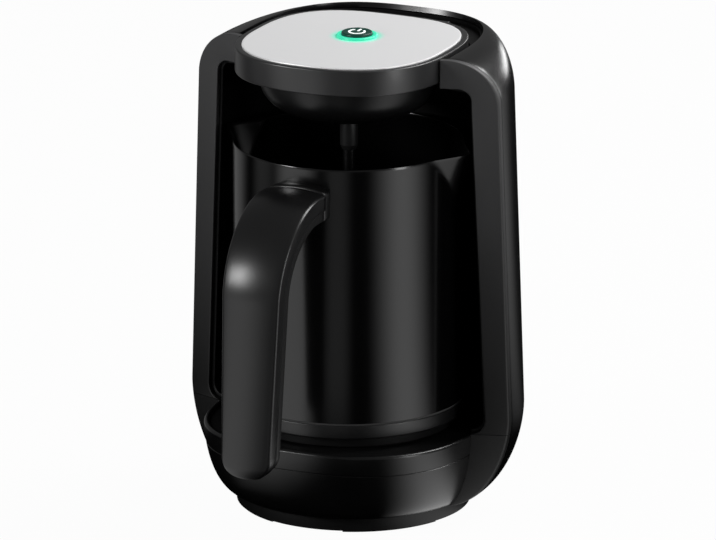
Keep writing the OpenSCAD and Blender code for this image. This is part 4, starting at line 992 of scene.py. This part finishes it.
def cards(tree):
    """Pale cards on the floor as mirrors see them: the sum of soft bumps in the direction about the
    object's axis, atan2(x, -y)."""
    place = position(tree)
    axes = add(tree, "SeparateXYZ", {0: place}).outputs
    turn = calc(tree, "ARCTAN2", axes["X"], calc(tree, "MULTIPLY", axes["Y"], -1))
    reach = add(tree, "VectorMath", {0: place}, operation="LENGTH").outputs["Value"]
    total = 0.0
    for middle, half, soft, strength, near, far in CARDS:
        away = calc(tree, "ABSOLUTE", calc(tree, "SUBTRACT", turn, math.radians(middle)))
        bump = add(tree, "MapRange", {"Value": away, "To Min": strength, "To Max": 0,
                                      "From Min": math.radians(half), "From Max": math.radians(half + soft)},
                   interpolation_type="SMOOTHSTEP")
        fade = add(tree, "MapRange", {"Value": reach, "From Min": near, "From Max": far})
        seen = calc(tree, "MULTIPLY", fade.outputs["Result"], bump.outputs["Result"])
        total = calc(tree, "ADD", seen, total)
    return add(tree, "Emission", {"Strength": total}).outputs[0]


def white_to_camera(tree, shader, output, white_kind, strength, mirrored=None):
    """Mixes plain white in where the camera looks straight at a surface, and another shader where a
    mirror does."""
    path, shaded = add(tree, "LightPath", {}).outputs, shader.outputs[0]
    if mirrored:
        shaded = add(tree, "MixShader", {0: path["Is Glossy Ray"], 1: shaded, 2: mirrored}).outputs[0]
    white = add(tree, white_kind, {"Color": (1, 1, 1), "Strength": 1.0}).outputs[0]
    factor = calc(tree, "MULTIPLY", path["Is Camera Ray"], strength)
    both = add(tree, "MixShader", {0: factor, 1: shaded, 2: white})
    feed(tree, tree.nodes[output], {"Surface": both.outputs[0]})


# ---- operators
class COFFEE_OT_shell(Operator):
    """Builds the gloss shell round the stand"""
    bl_idname = "coffee.shell"
    bl_label = "Outer Shell"

    def execute(self, context):
        make_shell()
        return {"FINISHED"}


class COFFEE_OT_frame(Operator):
    """Builds the arms, the arch and the bay's wall"""
    bl_idname = "coffee.frame"
    bl_label = "Front Frame"

    def execute(self, context):
        make_frame()
        return {"FINISHED"}


class COFFEE_OT_bowl(Operator):
    """Builds the bowl and the sides of the base"""
    bl_idname = "coffee.bowl"
    bl_label = "Base Bowl"

    def execute(self, context):
        make_bowl()
        return {"FINISHED"}


class COFFEE_OT_lid(Operator):
    """Builds the lid's band and hinge"""
    bl_idname = "coffee.lid"
    bl_label = "Lid"

    def execute(self, context):
        make_lid()
        return {"FINISHED"}


class COFFEE_OT_plate(Operator):
    """Builds the brushed plate on the lid"""
    bl_idname = "coffee.plate"
    bl_label = "Lid Plate"

    def execute(self, context):
        make_plate()
        return {"FINISHED"}


class COFFEE_OT_button(Operator):
    """Builds the button, its mark and its lit ring"""
    bl_idname = "coffee.button"
    bl_label = "Power Button"

    def execute(self, context):
        make_button()
        return {"FINISHED"}


class COFFEE_OT_dome(Operator):
    """Builds the dome and the lid's underside"""
    bl_idname = "coffee.dome"
    bl_label = "Lid Dome"

    def execute(self, context):
        make_dome()
        return {"FINISHED"}


class COFFEE_OT_pot(Operator):
    """Builds the pot with its two pouring lips"""
    bl_idname = "coffee.pot"
    bl_label = "Pot"

    def execute(self, context):
        make_pot()
        return {"FINISHED"}


class COFFEE_OT_pot_foot(Operator):
    """Builds the band and skirt under the pot"""
    bl_idname = "coffee.pot_foot"
    bl_label = "Pot Foot"

    def execute(self, context):
        make_pot_foot()
        return {"FINISHED"}


class COFFEE_OT_handle(Operator):
    """Builds the strap handle and its bracket"""
    bl_idname = "coffee.handle"
    bl_label = "Handle"

    def execute(self, context):
        make_handle()
        return {"FINISHED"}


class COFFEE_OT_nodes(Operator):
    """Gives the frame's own nodes their finishes"""
    bl_idname = "coffee.nodes"
    bl_label = "Inner Pieces"

    def execute(self, context):
        dress_nodes()
        return {"FINISHED"}


class COFFEE_OT_stage(Operator):
    """Sets the camera, floor, lamps and background"""
    bl_idname = "coffee.stage"
    bl_label = "Studio"

    def execute(self, context):
        make_stage()
        return {"FINISHED"}


OPERATORS = [COFFEE_OT_shell, COFFEE_OT_frame, COFFEE_OT_bowl, COFFEE_OT_lid,
             COFFEE_OT_plate, COFFEE_OT_button, COFFEE_OT_dome, COFFEE_OT_pot,
             COFFEE_OT_pot_foot, COFFEE_OT_handle, COFFEE_OT_nodes, COFFEE_OT_stage]


class COFFEE_PT_panel(Panel):
    """Lists the pieces of the coffee maker."""
    bl_label = "Coffee Maker"
    bl_idname = "COFFEE_PT_panel"
    bl_space_type = "VIEW_3D"
    bl_region_type = "UI"
    bl_category = "Coffee Maker"

    def draw(self, context):
        for op in OPERATORS:
            self.layout.operator(op.bl_idname)
        for name, group in (("coffee_sizes", COFFEE_PG_sizes), ("coffee_colours", COFFEE_PG_colours)):
            box = self.layout.box()
            for key in group.__annotations__:
                box.prop(getattr(context.scene, name), key)


CLASSES = [COFFEE_PG_sizes, COFFEE_PG_colours, *OPERATORS, COFFEE_PT_panel]


def register():
    for c in CLASSES:
        bpy.utils.register_class(c)
    bpy.types.Scene.coffee_sizes = PointerProperty(type=COFFEE_PG_sizes)
    bpy.types.Scene.coffee_colours = PointerProperty(type=COFFEE_PG_colours)


def unregister():
    del bpy.types.Scene.coffee_sizes, bpy.types.Scene.coffee_colours
    for c in reversed(CLASSES):
        bpy.utils.unregister_class(c)


def main():
    register()
    for op in OPERATORS:
        getattr(bpy.ops.coffee, op.bl_idname.split(".")[1])()
    bpy.context.view_layer.update()


if __name__ == "__main__":
    main()
